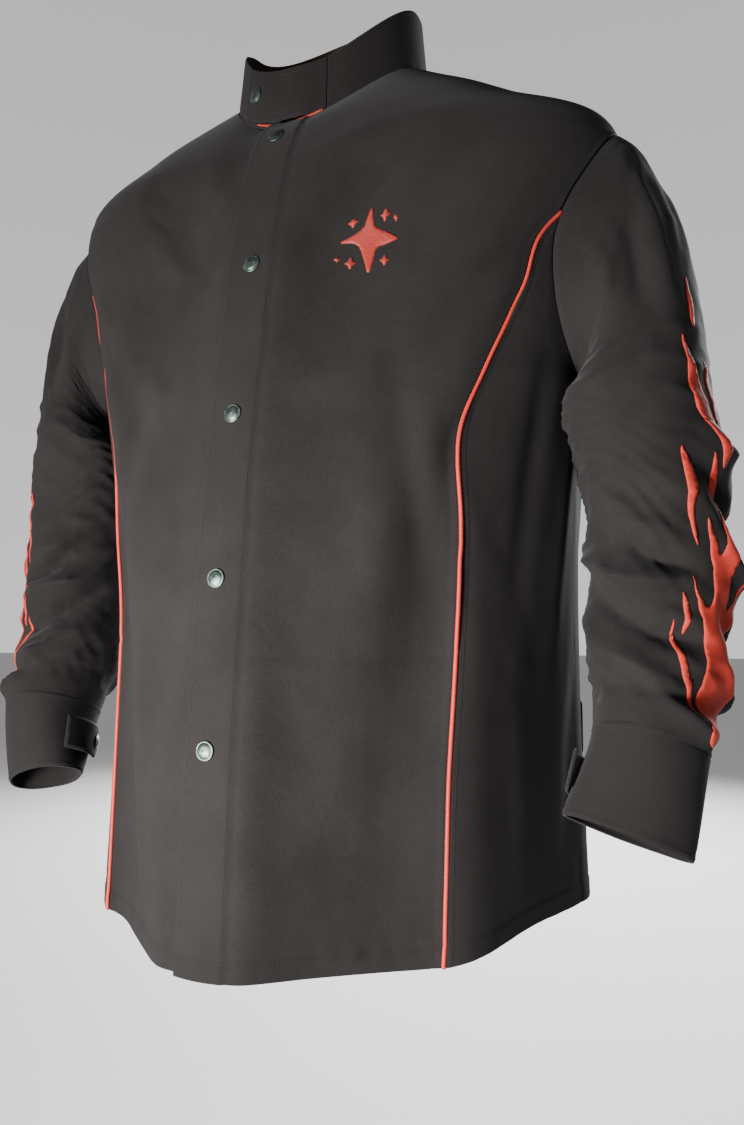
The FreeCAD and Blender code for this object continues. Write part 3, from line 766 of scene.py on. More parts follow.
def line_beside_row(grid, normals, distance, from_last=False):
    """Line on the grid at a distance from its first or last row."""
    return line_beside_column(
        np.swapaxes(grid, 0, 1), np.swapaxes(normals, 0, 1), distance, from_last)


# --------------------------------------------------------------------------------------------
# Body: drape, refine, seams
# --------------------------------------------------------------------------------------------

PANELS = body_panels()
UNDER_DEPTH = 4.6


def shaped(points):
    """How this jacket hangs: dropped shoulders and a slimmer waist on the wearer's right."""
    points = np.array(points, float)
    x, z = points[..., 0].copy(), points[..., 2].copy()
    points[..., 2] -= 11 * smoothstep((np.abs(x) - 135) / 115) * smoothstep((z + 200) / 110)
    slim = smoothstep((-x - 30) / 130) * smoothstep((-z - 260) / 260)
    points[..., 0] *= 1 - 0.105 * slim
    points[..., 2] += 12 * smoothstep((np.abs(x) - 140) / 85) * smoothstep((-z - 560) / 170)
    points[..., 0] += 10 * np.sign(x) * smoothstep((np.abs(x) - 165) / 85) * smoothstep((z + 185) / 90)
    return points


def panel_points(name):
    angles, rings = PANELS[name]
    points = shaped(body_point(angles, rings))
    if name == "right_front":
        normals = grid_normals(points)
        if normals[len(normals) // 2, 0] @ points[len(normals) // 2, 0] < 0:
            normals = -normals
        depth = UNDER_DEPTH * smoothstep((points[..., 0] + 70) / 48)
        points = points - normals * depth[..., None]
    return points


def torso_pins(points):
    """How firmly each point is held: seams, placket, neck and armholes hold the drape."""
    x, y, z = points.T
    pins = np.zeros(len(points))
    pins = np.maximum(pins, smoothstep((z + 95) / 60))
    pins = np.maximum(pins, 0.9 * smoothstep((34 - np.abs(x)) / 12) * (y < 0))
    return pins


def drape_torso():
    """Cloth solve of the whole body, seams shared, then split into panels again."""
    base = {name: panel_points(name) for name in PANELS}
    lookup = {}
    points = []
    index = {}
    for name, grid in base.items():
        numbers = np.empty(grid.shape[:2], int)
        for row in range(grid.shape[0]):
            for column in range(grid.shape[1]):
                key = tuple(np.round(grid[row, column], 3))
                if key not in lookup:
                    lookup[key] = len(points)
                    points.append(grid[row, column])
                numbers[row, column] = lookup[key]
        index[name] = numbers
    points = np.array(points)
    faces = []
    pins = torso_pins(points)
    for name, numbers in index.items():
        for row in range(numbers.shape[0] - 1):
            for column in range(numbers.shape[1] - 1):
                face = (numbers[row, column], numbers[row + 1, column],
                        numbers[row + 1, column + 1], numbers[row, column + 1])
                corners = tuple(dict.fromkeys(int(v) for v in face))
                if len(corners) > 2:
                    faces.append(corners)
    for name, numbers in index.items():
        if "side_front" in name:
            pins[numbers[:, 0]] = np.maximum(pins[numbers[:, 0]], 0.75)
        if "side" in name:
            rows = PANELS[name][1][:, 0]
            upper = rows <= ARM_BOTTOM + 1e-9
            column = -1 if "front" in name else 0
            pins[numbers[upper, column]] = 0.9
            pins[numbers[:, column]] = np.maximum(pins[numbers[:, column]], 0.3)
    front_rows = (ROWS >= ARM_TOP - 1e-9) & (ROWS <= PIPING_TOP + 1e-9)
    back_rows = (ROWS >= ARM_TOP - 1e-9) & (ROWS <= BACK_SEAM_TOP + 1e-9)
    for name, _ in SIDES:
        pins[index[name + "_front"][front_rows, -1]] = 0.95
    for column in (0, -1):
        pins[index["back"][back_rows, column]] = 0.95
    rest = points.copy()
    loose = smoothstep((-110 - points[:, 2]) / 160)
    rest[:, 0] *= 1 + 0.030 * loose
    rest[:, 1] *= 1 + 0.030 * loose
    rest[:, 2] += 0.028 * (points[:, 2] + 110) * loose
    settled = drape("torso_drape", points, faces, rest, pins, 26, 9.0, 0.25)
    return {name: settled[numbers] for name, numbers in index.items()}


def seam_relief(grid, normals, near_first, near_last, width=6.5):
    """Pressed seam: a valley at the seam, a raised allowance and a groove at the stitches."""
    run = distances(grid, 1)
    total = run[:, -1:]
    shift = np.zeros(grid.shape[:2])
    for used, gap in ((near_first, run), (near_last, total - run)):
        if not used:
            continue
        shift += -0.7 * np.exp(-(gap / 1.0) ** 2)
        shift += 0.55 * smoothstep(gap / 1.8) * smoothstep((width + 2.0 - gap) / 2.5)
        shift += -0.45 * np.exp(-((gap - width) / 1.2) ** 2)
    return grid + normals * shift[..., None]


def pucker(grid, normals, gap, reach, height, wave, phase):
    """Small wrinkles that run off a stitched line; gap is the distance to the line."""
    run = distances(grid, 0)
    beat = np.sin(run * 2 * math.pi / wave + phase)
    beat = beat + 0.6 * np.sin(run * 2 * math.pi / (wave * 1.73) + 2.1 * phase + 1.0)
    envelope = 0.55 + 0.45 * np.sin(run / 37.0 + phase * 3)
    shift = height * beat * envelope * np.exp(-(gap / reach) ** 2)
    return grid + normals * shift[..., None]


def hem_relief(grid, normals, turn_up, from_last=True):
    """Turned-up hem: the cloth is doubled below its stitch line."""
    run = distances(grid, 0)
    gap = run[-1:, :] - run if from_last else run
    shift = 0.8 * smoothstep((turn_up + 0.8 - gap) / 1.6) - 0.5 * np.exp(-((gap - turn_up) / 1.3) ** 2)
    return grid + normals * shift[..., None], gap


stitching = {}


def stitch(motion, line, normals, **settings):
    stitching.setdefault(motion, Stitches()).add(line, normals, **settings)


def cloth_node(name, grid, motion, slot, nodes=(), thickness=1.5, inner=None, outer=None, **shape):
    piece = cloth_piece(name, grid, thickness, [outer or CLOTH, inner or CLOTH], **shape)
    return finish_piece(piece, MOTION[motion], nodes)


FINE = 3
HEM = 14.0
PLACKET = 40.0
SEAM = 6.5

body_grids = drape_torso()
finished = {}

# Drape folds of the body: start, end, half width and height, mirrored for the wearer's right.
FRONT_FOLDS = [
    ((118, -139, -255), (146, -130, -470), 15, -4.0),
    ((138, -132, -300), (172, -112, -500), 13, 2.6),
    ((96, -148, -300), (112, -140, -520), 17, 2.2),
    ((205, -85, -150), (168, -112, -215), 10, 2.8),
    ((213, -72, -215), (176, -108, -262), 9, -2.4),
    ((60, -120, -80), (150, -112, -120), 16, 1.6),
    ((45, -190, -560), (90, -172, -715), 18, 1.8),
    ((128, -152, -560), (122, -158, -728), 15, -1.8),
]
SIDE_FOLDS = [
    ((220, -55, -270), (205, -80, -470), 12, -4.0),
    ((232, -10, -300), (224, -40, -520), 13, 3.0),
    ((206, -80, -500), (212, -72, -710), 14, 2.2),
    ((228, 10, -520), (232, -20, -715), 14, -2.6),
    ((236, 30, -290), (222, 60, -420), 12, 3.0),
]
BACK_FOLDS = [
    ((150, 118, -190), (70, 150, -330), 18, 3.4),
    ((-150, 118, -190), (-75, 150, -340), 18, 3.2),
    ((180, 100, -260), (110, 140, -420), 16, -3.0),
    ((-180, 100, -260), (-105, 142, -430), 16, -3.0),
    ((60, 150, -420), (95, 148, -700), 22, 2.6),
    ((-50, 150, -430), (-100, 146, -700), 22, 2.6),
    ((10, 150, -330), (0, 158, -620), 24, -2.4),
]


def fine_rings(name):
    """Ring position of each row of a finished body grid."""
    return refine(np.repeat(PANELS[name][1][:, :1, None], 2, 1), FINE)[:, 0, 0]


def mirrored_folds(folds, side):
    return [((side * a[0],) + a[1:], (side * b[0],) + b[1:], width, height)
            for a, b, width, height in folds]


for name, side in SIDES:
    motion = name + "_front"
    grid = refine(body_grids[motion], FINE)
    grid = add_folds(grid, outward(grid), mirrored_folds(FRONT_FOLDS, side))
    normals = outward(grid)
    edge_gap = distances(grid, 1)
    grid = seam_relief(grid, normals, False, True)
    crease = -0.7 * np.exp(-((grid[..., 2] + 503 + 6 * np.sin(grid[..., 0] / 60)) / 2.6) ** 2)
    grid = grid + normals * (crease * smoothstep((edge_gap - 30) / 25))[..., None]
    raised = 1.2 * smoothstep((PLACKET + 1.5 - edge_gap) / 2.0)
    groove = -0.5 * np.exp(-((edge_gap - PLACKET - 1.8) / 1.8) ** 2)
    grid = grid + normals * (raised + groove)[..., None]
    grid = pucker(grid, normals, edge_gap - PLACKET, 7.0, 0.28, 23.0, 0.4 + side)
    grid, hem_gap = hem_relief(grid, normals, HEM)
    grid = np.swapaxes(pucker(np.swapaxes(grid, 0, 1), np.swapaxes(normals, 0, 1),
                              np.swapaxes(hem_gap - HEM, 0, 1), 8.0, 0.35, 19.0, 1.1), 0, 1)
    normals = outward(grid)
    finished[motion] = grid
    cloth_node(name + "_front_cloth", grid, motion, "jacket_cloth",
               (name + "_front_panel", name + "_chest_panel"), inner=CLOTH)
    within = int(np.median(np.argmax(edge_gap > PLACKET - 1, axis=1)))
    facing = grid[:, :within] - normals[:, :within] * 1.55
    cloth_node(name + "_placket_facing", facing, motion, "jacket_cloth",
               (name + "_placket_upper", name + "_placket_lower"), thickness=1.0)
    stitch(motion, *line_beside_column(grid, normals, PLACKET - 1.2))
    stitch(motion, *line_beside_column(grid, normals, 3.0))
    stitch(motion, *line_beside_column(grid, normals, SEAM - 3.2, True))
    stitch(motion, *line_beside_row(grid, normals, HEM, True))

    # Red piping along the front's outer seam, under the armhole.
    seam = fine_rings(motion) >= PIPING_TOP - 0.02
    line = grid[seam, -1] + normals[seam, -1] * 1.35
    line[-1] -= (line[-1] - line[-2]) * 0.3
    cord = tube_piece(name + "_piping_cord", line, normals[seam, -1], 1.75, PIPING)
    finish_piece(cord, MOTION["torso"], (name + "_piping",))

    for part, motion_nodes in (("_side_front", (name + "_side_panel",)), ("_side_back", ())):
        grid = refine(body_grids[name + part], FINE)
        grid = add_folds(grid, outward(grid), mirrored_folds(SIDE_FOLDS, side))
        normals = outward(grid)
        front_part = part == "_side_front"
        grid = seam_relief(grid, normals, front_part, not front_part)
        grid, hem_gap = hem_relief(grid, normals, HEM)
        normals = outward(grid)
        finished[name + part] = grid
        cloth_node(name + part + "_cloth", grid, "torso", "jacket_cloth", motion_nodes)
        stitch("torso", *line_beside_column(grid, normals, SEAM, not front_part))
        stitch("torso", *line_beside_row(grid, normals, HEM, True))

grid = refine(body_grids["back"], FINE)
grid = add_folds(grid, outward(grid), BACK_FOLDS)
normals = outward(grid)
grid = seam_relief(grid, normals, True, True)
run = distances(grid, 0)
yoke_row = int(np.argmin(np.abs(fine_rings("back") - YOKE_RING)))
yoke_gap = run - run[yoke_row:yoke_row + 1]
step = 0.9 * smoothstep((1.0 - yoke_gap) / 2.0) - 0.5 * np.exp(-((yoke_gap - 2.0) / 1.8) ** 2)
grid = grid + normals * step[..., None]
grid, hem_gap = hem_relief(grid, normals, HEM)
normals = outward(grid)
finished["back"] = grid
cloth_node("back_cloth", grid, "torso", "jacket_cloth", ("back_panel", "back_yoke"))
stitch("torso", *line_beside_column(grid, normals, SEAM))
stitch("torso", *line_beside_column(grid, normals, SEAM, True))
stitch("torso", *line_beside_row(grid, normals, HEM, True))
yoke = grid[:yoke_row + 1]
stitch("torso", *line_beside_row(yoke, normals[:yoke_row + 1], 2.5, True))
stitch("torso", *line_beside_row(yoke, normals[:yoke_row + 1], 8.0, True))

# --------------------------------------------------------------------------------------------
# Sleeves and cuffs
# --------------------------------------------------------------------------------------------
# Inner x and z, outer x and z, middle y, half depth, forward lift, and turn about the arm.

SLEEVE_RINGS = [
    (241, -275, 253, -59, 12, 78, 0, 0),
    (242, -281, 288, -78, 14, 77, 0, 0),
    (243, -288, 313, -132, 18, 75, 0, 0),
    (245, -297, 331, -222, 22, 72, 0, 0),
    (244, -314, 341, -292, 22, 69, 0, 0),
    (243, -362, 353, -356, 18, 66, 0.03, 0),
    (244, -440, 355, -440, 4, 60, 0.12, 0),
    (243, -508, 349, -512, -14, 55, 0.28, 0),
    (250, -568, 336, -580, -42, 46, 0.36, 8),
    (226, -626, 330, -652, -66, 31, 0.36, 20),
]
UPPER_END, FOREARM_END = 4.5, 8.0


def sleeve_axes(position):
    in_x, in_z, out_x, out_z, middle_y, deep, lift, turn = rows_at(SLEEVE_RINGS, position)
    centre = Vector(((in_x + out_x) / 2, middle_y, (in_z + out_z) / 2))
    outer = Vector(((out_x - in_x) / 2, 0, (out_z - in_z) / 2))
    ahead = Vector((0, -deep, lift * deep))
    spin = Matrix.Rotation(math.radians(-turn), 3, outer.cross(ahead))
    return centre, spin @ outer, spin @ ahead


def sleeve_point(position, turn, side=1.0, swell=1.0):
    """Point of a sleeve; turn runs from the outer line (0) to the front (90) and inside (180)."""
    centre, outer, ahead = sleeve_axes(position)
    angle = math.radians(turn)
    point = centre + (outer * math.cos(angle) + ahead * math.sin(angle)) * swell
    return np.array((point.x * side, point.y, point.z))


SLEEVE_COLUMNS = 54
SLEEVE_TURNS = np.arange(SLEEVE_COLUMNS) * 360.0 / SLEEVE_COLUMNS
SLEEVE_COUNTS = (5, 7, 10, 9, 9, 12, 11, 11)


def sleeve_rows():
    rows = [0.0]
    for ring, count in enumerate(SLEEVE_COUNTS):
        rows += [ring + (i + 1) / count for i in range(count)]
    rows = np.array(rows)
    rows[np.argmin(np.abs(rows - UPPER_END))] = UPPER_END
    return rows


SLEEVE_ROWS = sleeve_rows()
FINE_SLEEVE_RINGS = refine(np.repeat(SLEEVE_ROWS[:, None, None], 4, 1), 2)[:, 0, 0]


def sleeve_grid(rows, side, swell=1.0):
    return np.array([[sleeve_point(row, turn, side, swell) for turn in SLEEVE_TURNS] for row in rows])


# Folds of the sleeve: start and end as (ring, turn), half width and height in mm.
SLEEVE_FOLDS = [
    ((1.0, 95), (3.6, 120), 9, 4.0), ((1.6, 70), (3.4, 92), 9, -3.5), ((0.9, 48), (3.2, 66), 12, 3.0),
    ((3.3, 165), (4.9, 75), 8, 5.0), ((3.9, 175), (5.4, 90), 7, -4.5), ((4.3, 150), (5.3, 55), 8, 4.5),
    ((4.9, 160), (5.7, 80), 8, 5.5), ((5.2, 150), (6.1, 60), 7, -5.0), ((5.7, 165), (6.2, 70), 9, 5.0),
    ((6.3, 150), (6.9, 40), 9, -4.5), ((6.5, 165), (7.4, 75), 9, 4.5), ((7.0, 140), (7.6, 30), 8, -3.5),
    ((7.2, 110), (7.8, 10), 8, 4.0), ((4.5, 60), (4.8, -10), 10, 4.0), ((5.1, 50), (5.5, -25), 9, -4.5),
    ((5.7, 40), (6.0, -35), 10, 4.5), ((6.4, 30), (6.8, -30), 9, -3.5), ((7.0, 20), (7.3, -50), 9, 3.5),
    ((4.8, 220), (5.5, 290), 9, 4.5), ((5.5, 215), (6.0, 300), 9, -4.0), ((6.2, 225), (6.8, 300), 10, 4.5),
    ((3.0, 215), (4.2, 285), 10, 3.5), ((7.1, 230), (7.6, 310), 9, 4.0), ((1.2, 255), (3.0, 235), 11, 3.5),
]


def sleeve_folds(grid, normals, side):
    """Curved ridges and valleys across the sleeve, each following its path on the cloth."""
    shift = np.zeros(grid.shape[:2])
    for (ring_a, turn_a), (ring_b, turn_b), width, height in SLEEVE_FOLDS:
        height = height * (2.3 + 0.5 * (ring_a > 3))
        steps = np.linspace(0, 1, 49)
        sag = 0.22 * np.sin(np.pi * steps)
        path = np.array([sleeve_point(ring_a + (ring_b - ring_a) * t + bow,
                                      turn_a + (turn_b - turn_a) * t, side)
                         for t, bow in zip(steps, sag)])
        fade = np.sin(np.pi * (0.04 + 0.92 * steps)) ** 0.7
        gaps = np.linalg.norm(grid[:, :, None, :] - path, axis=-1)
        nearest = gaps.argmin(-1)
        gap = np.take_along_axis(gaps, nearest[..., None], -1)[..., 0]
        shift += height * fade[nearest] * np.exp(-(gap / width) ** 1.5)
    return grid + normals * (shift + creases(grid.shape[:2], side))[..., None]


def creases(shape, side):
    """Sharp cross folds of the elbow and forearm, strongest at the front and inside."""
    rings = FINE_SLEEVE_RINGS[:, None] + np.zeros(shape[1])
    turn = np.radians(np.arange(shape[1]) * 360.0 / shape[1])[None, :] + np.zeros(shape)
    total = np.zeros(shape)
    for rate, slant, lag, height in ((2.3, 0.42, 0.3, 5.2), (3.7, -0.36, 1.9, 3.2), (1.6, 0.6, 4.0, 4.2)):
        wander = 0.16 * np.sin(3 * turn + lag) + 0.12 * np.sin(5 * turn + 2 * lag + side)
        phase = rate * rings + slant * rate * np.sin(turn - 0.6 + lag) + wander * rate
        beat = 1 - np.abs(np.sin(math.pi * phase)) ** 0.8
        patchy = 0.5 + 0.5 * np.sin(2 * turn + 1.7 * rings + lag)
        total += height * (beat - 0.35) * patchy
    bend = np.exp(-((rings - 5.2) / 1.1) ** 2) + 0.75 * np.exp(-((rings - 7.0) / 0.8) ** 2)
    bend += 0.55 * np.exp(-((rings - 3.7) / 0.8) ** 2)
    facing = 0.55 + 0.45 * np.cos(turn - math.radians(125))
    return total * bend * facing * smoothstep((8.0 - rings) / 0.5)


def armhole_loop(name):
    """Edge of the finished body round the armhole: turn about its middle, and points."""
    back_column = 0 if name == "left" else -1
    parts = []
    for panel, column, first, last in (
            (name + "_front", -1, ARM_TOP, PIPING_TOP), (name + "_side_front", -1, 0, ARM_BOTTOM),
            (name + "_side_back", 0, 0, ARM_BOTTOM), ("back", back_column, ARM_TOP, BACK_SEAM_TOP)):
        rings = fine_rings(panel)
        chosen = (rings >= first - 0.001) & (rings <= last + 0.001)
        parts.append(finished[panel][chosen, column])
    points = np.concatenate(parts)
    turns = np.degrees(np.arctan2(-(points[:, 1] - ARMHOLE_Y) / ARMHOLE_DEEP,
                                  (points[:, 2] - ARMHOLE_Z) / ARMHOLE_TALL)) % 360
    order = np.argsort(turns)
    return turns[order], points[order]


def join_armhole(sleeve, name, turns, rings):
    """Moves the head of the sleeve on to the finished armhole."""
    loop_turns, loop = armhole_loop(name)
    wrapped = np.concatenate([loop_turns - 360, loop_turns, loop_turns + 360])
    target = np.stack([np.interp(turns, wrapped, np.tile(loop[:, k], 3)) for k in range(3)], -1)
    share = smoothstep(1 - rings / 1.5)[:, None, None]
    return sleeve + (target - sleeve[0])[None] * share


def shaped_sleeve(points, rings, turns, side):
    """How the sleeve hangs: a low head, and an upper arm that swells to the front and inside."""
    points = points.copy()
    head = 12 * np.exp(-((rings - 1.3) / 0.9) ** 2) * (0.5 + 0.5 * np.cos(np.radians(turns))) ** 1.5
    points[..., 2] -= head
    upper = np.exp(-((rings - 3.9) / 1.25) ** 2)
    points[..., 1] -= 27 * upper * np.clip(np.sin(np.radians(turns)), 0, 1)
    points[..., 0] -= side * 30 * upper * np.clip(np.cos(np.radians(turns - 122)), 0, 1) ** 2
    points[..., 0] += side * 6 * np.exp(-((rings - 2.2) / 1.2) ** 2) * np.clip(
        np.cos(np.radians(turns)), 0, 1)
    return points


def drape_sleeve(side):
    start = sleeve_grid(SLEEVE_ROWS, side)
    start = shaped_sleeve(start, SLEEVE_ROWS[:, None], SLEEVE_TURNS[None, :], side)
    flat = start.reshape(-1, 3)
    faces = grid_faces(len(SLEEVE_ROWS), SLEEVE_COLUMNS, True)
    along = (SLEEVE_ROWS[:, None] + np.zeros(SLEEVE_COLUMNS)).ravel()
    turn = (np.zeros(len(SLEEVE_ROWS))[:, None] + SLEEVE_TURNS).ravel()
    hold = np.maximum(smoothstep(1 - along / 1.3), smoothstep((along - 7.5) / 0.5))
    hold = np.maximum(hold, 0.16)
    inside = 0.5 + 0.5 * np.cos(np.radians(turn - 150))
    shift = distances(start, 0).ravel()
    total = shift.max()
    rest = flat.copy()
    rest[:, 2] -= 0.17 * (shift - total * 0.2) * smoothstep((along - 1.0) / 1.2) * (0.55 + 0.6 * inside)
    middle = np.repeat(start.mean(1), SLEEVE_COLUMNS, 0)
    loose = smoothstep(along / 1.5) * smoothstep((8.0 - along) / 0.8)
    rest += (flat - middle) * (0.05 * loose)[:, None]
    ripple = rng.normal(0, 0.7, len(flat))
    seeded = flat + (outward(start, True).reshape(-1, 3)) * (ripple * loose)[:, None]
    settled = drape("sleeve_drape", seeded, faces, rest, hold, 30, 2.2, 0.35, 0.7)
    gap = settled - flat
    reach = np.linalg.norm(gap, axis=1, keepdims=True)
    settled = flat + gap * np.minimum(1.0, 11.0 / np.maximum(reach, 1e-6))
    return settled.reshape(start.shape)


def sleeve_seam(grid, normals, turn, closed_turns):
    """Pressed seam that runs down the sleeve at a turn."""
    around = np.radians(closed_turns - turn)
    radius = np.linalg.norm(grid - grid.mean(1, keepdims=True), axis=-1)
    gap = np.abs(np.arctan2(np.sin(around), np.cos(around)))[None, :] * radius
    shift = -0.8 * np.exp(-(gap / 1.6) ** 2) - 0.4 * np.exp(-((gap - SEAM) / 1.6) ** 2)
    return grid + normals * shift[..., None]


def sleeve_line(grid, normals, turns, turn, offset):
    """Line down the sleeve beside a turn, at an offset in mm."""
    radius = np.linalg.norm(grid - grid.mean(1, keepdims=True), axis=-1).mean(1)
    line = []
    up = []
    wrapped = np.concatenate([turns, [360.0]])
    for row in range(len(grid)):
        at = (turn + math.degrees(offset / radius[row])) % 360
        ring = np.concatenate([grid[row], grid[row, :1]])
        ring_up = np.concatenate([normals[row], normals[row, :1]])
        line.append([np.interp(at, wrapped, ring[:, k]) for k in range(3)])
        up.append([np.interp(at, wrapped, ring_up[:, k]) for k in range(3)])
    return np.array(line), np.array(up)


def ring_line(grid, normals, row):
    """Closed line round the sleeve at a row."""
    line = np.concatenate([grid[row], grid[row, :1]])
    up = np.concatenate([normals[row], normals[row, :1]])
    return line, up


# Flames of the sleeves: outlines as (turn, ring), drawn up the outer side of the arm.
FLAMES = [
    [(-16, 7.92), (2, 7.94), (14, 7.78), (17, 7.45), (12, 7.1), (17, 6.75), (28, 6.42), (33, 6.1),
     (29, 6.28), (22, 6.44), (13, 6.5), (12, 6.2), (18, 5.85), (20, 5.5), (14, 5.72), (7, 5.95),
     (4, 5.6), (8, 5.2), (10, 4.85), (5, 5.02), (-3, 5.35), (-8, 5.75), (-6, 6.15), (-10, 6.5),
     (-20, 6.3), (-24, 6.0), (-27, 6.4), (-22, 6.8), (-20, 7.2), (-26, 7.0), (-33, 6.7), (-33, 7.1),
     (-27, 7.5), (-22, 7.75)],
    [(22, 7.55), (30, 7.2), (38, 6.95), (45, 6.6), (43, 6.95), (36, 7.25), (28, 7.55), (25, 7.75)],
    [(10, 4.62), (16, 4.2), (14, 3.8), (19, 3.3), (12, 3.6), (4, 4.0), (-2, 4.5), (-6, 4.95), (-1, 5.1),
     (4, 4.8)],
    [(-8, 4.5), (-4, 4.05), (-6, 3.6), (-12, 3.95), (-15, 4.4), (-13, 4.8)],
    [(27, 5.9), (30, 5.5), (26, 5.2), (33, 4.75), (35, 5.2), (34, 5.6)],
    [(-32, 6.1), (-29, 5.7), (-33, 5.3), (-38, 5.6), (-38, 6.0)],
    [(6, 3.3), (8, 3.0), (5, 2.65), (1, 3.0), (2, 3.25)],
    [(30, 6.75), (34, 6.45), (40, 6.3), (37, 6.6), (33, 6.85)],
]


def smooth_outline(corners, rounds=2):
    """Closed outline eased through its corners, which stay near their places."""
    points = np.array(corners, float)
    for _ in range(rounds):
        following = np.roll(points, -1, 0)
        points = np.stack([points * 0.78 + following * 0.22, points * 0.22 + following * 0.78], 1)
        points = points.reshape(-1, 2)
    return points


def filled(outline, spacing):
    """Triangles of the inside of a closed outline, with inner points at a spacing."""
    low = outline.min(0)
    high = outline.max(0)
    xs = np.arange(low[0] + spacing / 2, high[0], spacing)
    ys = np.arange(low[1] + spacing / 2, high[1], spacing)
    inner = []
    following = np.roll(outline, -1, 0)
    for x in xs:
        for y in ys:
            crosses = (outline[:, 1] > y) != (following[:, 1] > y)
            if not crosses.any():
                continue
            a = outline[crosses]
            b = following[crosses]
            at = a[:, 0] + (y - a[:, 1]) * (b[:, 0] - a[:, 0]) / (b[:, 1] - a[:, 1])
            near = np.min(np.hypot(outline[:, 0] - x, outline[:, 1] - y))
            if (at > x).sum() % 2 and near > spacing * 0.6:
                inner.append((x, y))
    points = [Vector(p) for p in outline.tolist()] + [Vector(p) for p in inner]
    count = len(outline)
    loop = [tuple(range(count))]
    made = geometry.delaunay_2d_cdt(points, [], loop, 1, 1e-6)
    return np.array([tuple(p) for p in made[0]]), [tuple(f) for f in made[2]]


def patch_piece(name, flat, faces, place, material, top, bottom=-0.5, soft=0.5):
    """Flat outline mapped on to the cloth as a thin solid with a softened rim."""
    edge_count = {}
    for face in faces:
        for a, b in zip(face, face[1:] + face[:1]):
            key = (min(a, b), max(a, b))
            edge_count[key] = edge_count.get(key, 0) + 1
    rim = {v for edge, uses in edge_count.items() if uses == 1 for v in edge}
    points = []
    for index, (x, y) in enumerate(flat):
        point, normal = place(x, y)
        points.append(point + normal * (top - soft if index in rim else top))
    base = len(points)
    for index, (x, y) in enumerate(flat):
        point, normal = place(x, y)
        points.append(point + normal * (bottom + soft * 0.5 if index in rim else bottom))
    points = np.array(points)
    faces = list(faces)
    a, b, c = (points[list(faces[0])[k]] for k in range(3))
    _, normal = place(*flat[faces[0][0]])
    if np.cross(b - a, c - a) @ normal < 0:
        faces = [tuple(reversed(face)) for face in faces]
    sides = []
    for face in faces:
        for a, b in zip(face, face[1:] + face[:1]):
            if edge_count[(min(a, b), max(a, b))] == 1:
                sides.append((b, a, a + base, b + base))
    under = [tuple(base + v for v in reversed(face)) for face in faces]
    uv = np.concatenate([flat, flat])
    return new_object(name, points, faces + sides + under, [material], uv)


def sampler(grid, normals, turns, rings):
    """Function that places (turn, ring) on the finished sleeve surface."""
    count = len(turns)

    def place(x, y):
        turn = (x + FLAME_TURN) % 360.0
        column = turn / 360.0 * count
        row = np.interp(y, rings, np.arange(len(rings)))
        r0 = min(int(row), len(rings) - 2)
        c0 = int(column) % count
        c1 = (c0 + 1) % count
        fr = row - r0
        fc = column - int(column)
        out = []
        for field in (grid, normals):
            top = field[r0, c0] * (1 - fc) + field[r0, c1] * fc
            low = field[r0 + 1, c0] * (1 - fc) + field[r0 + 1, c1] * fc
            out.append(top * (1 - fr) + low * fr)
        return out[0], out[1] / np.linalg.norm(out[1])

    return place


def split_outline(outline, level):
    """Parts of an outline below and above a ring, so that a flame can cross the elbow seam."""
    below = outline.copy()
    below[:, 1] = np.maximum(below[:, 1], level)
    above = outline.copy()
    above[:, 1] = np.minimum(above[:, 1], level)
    return above, below


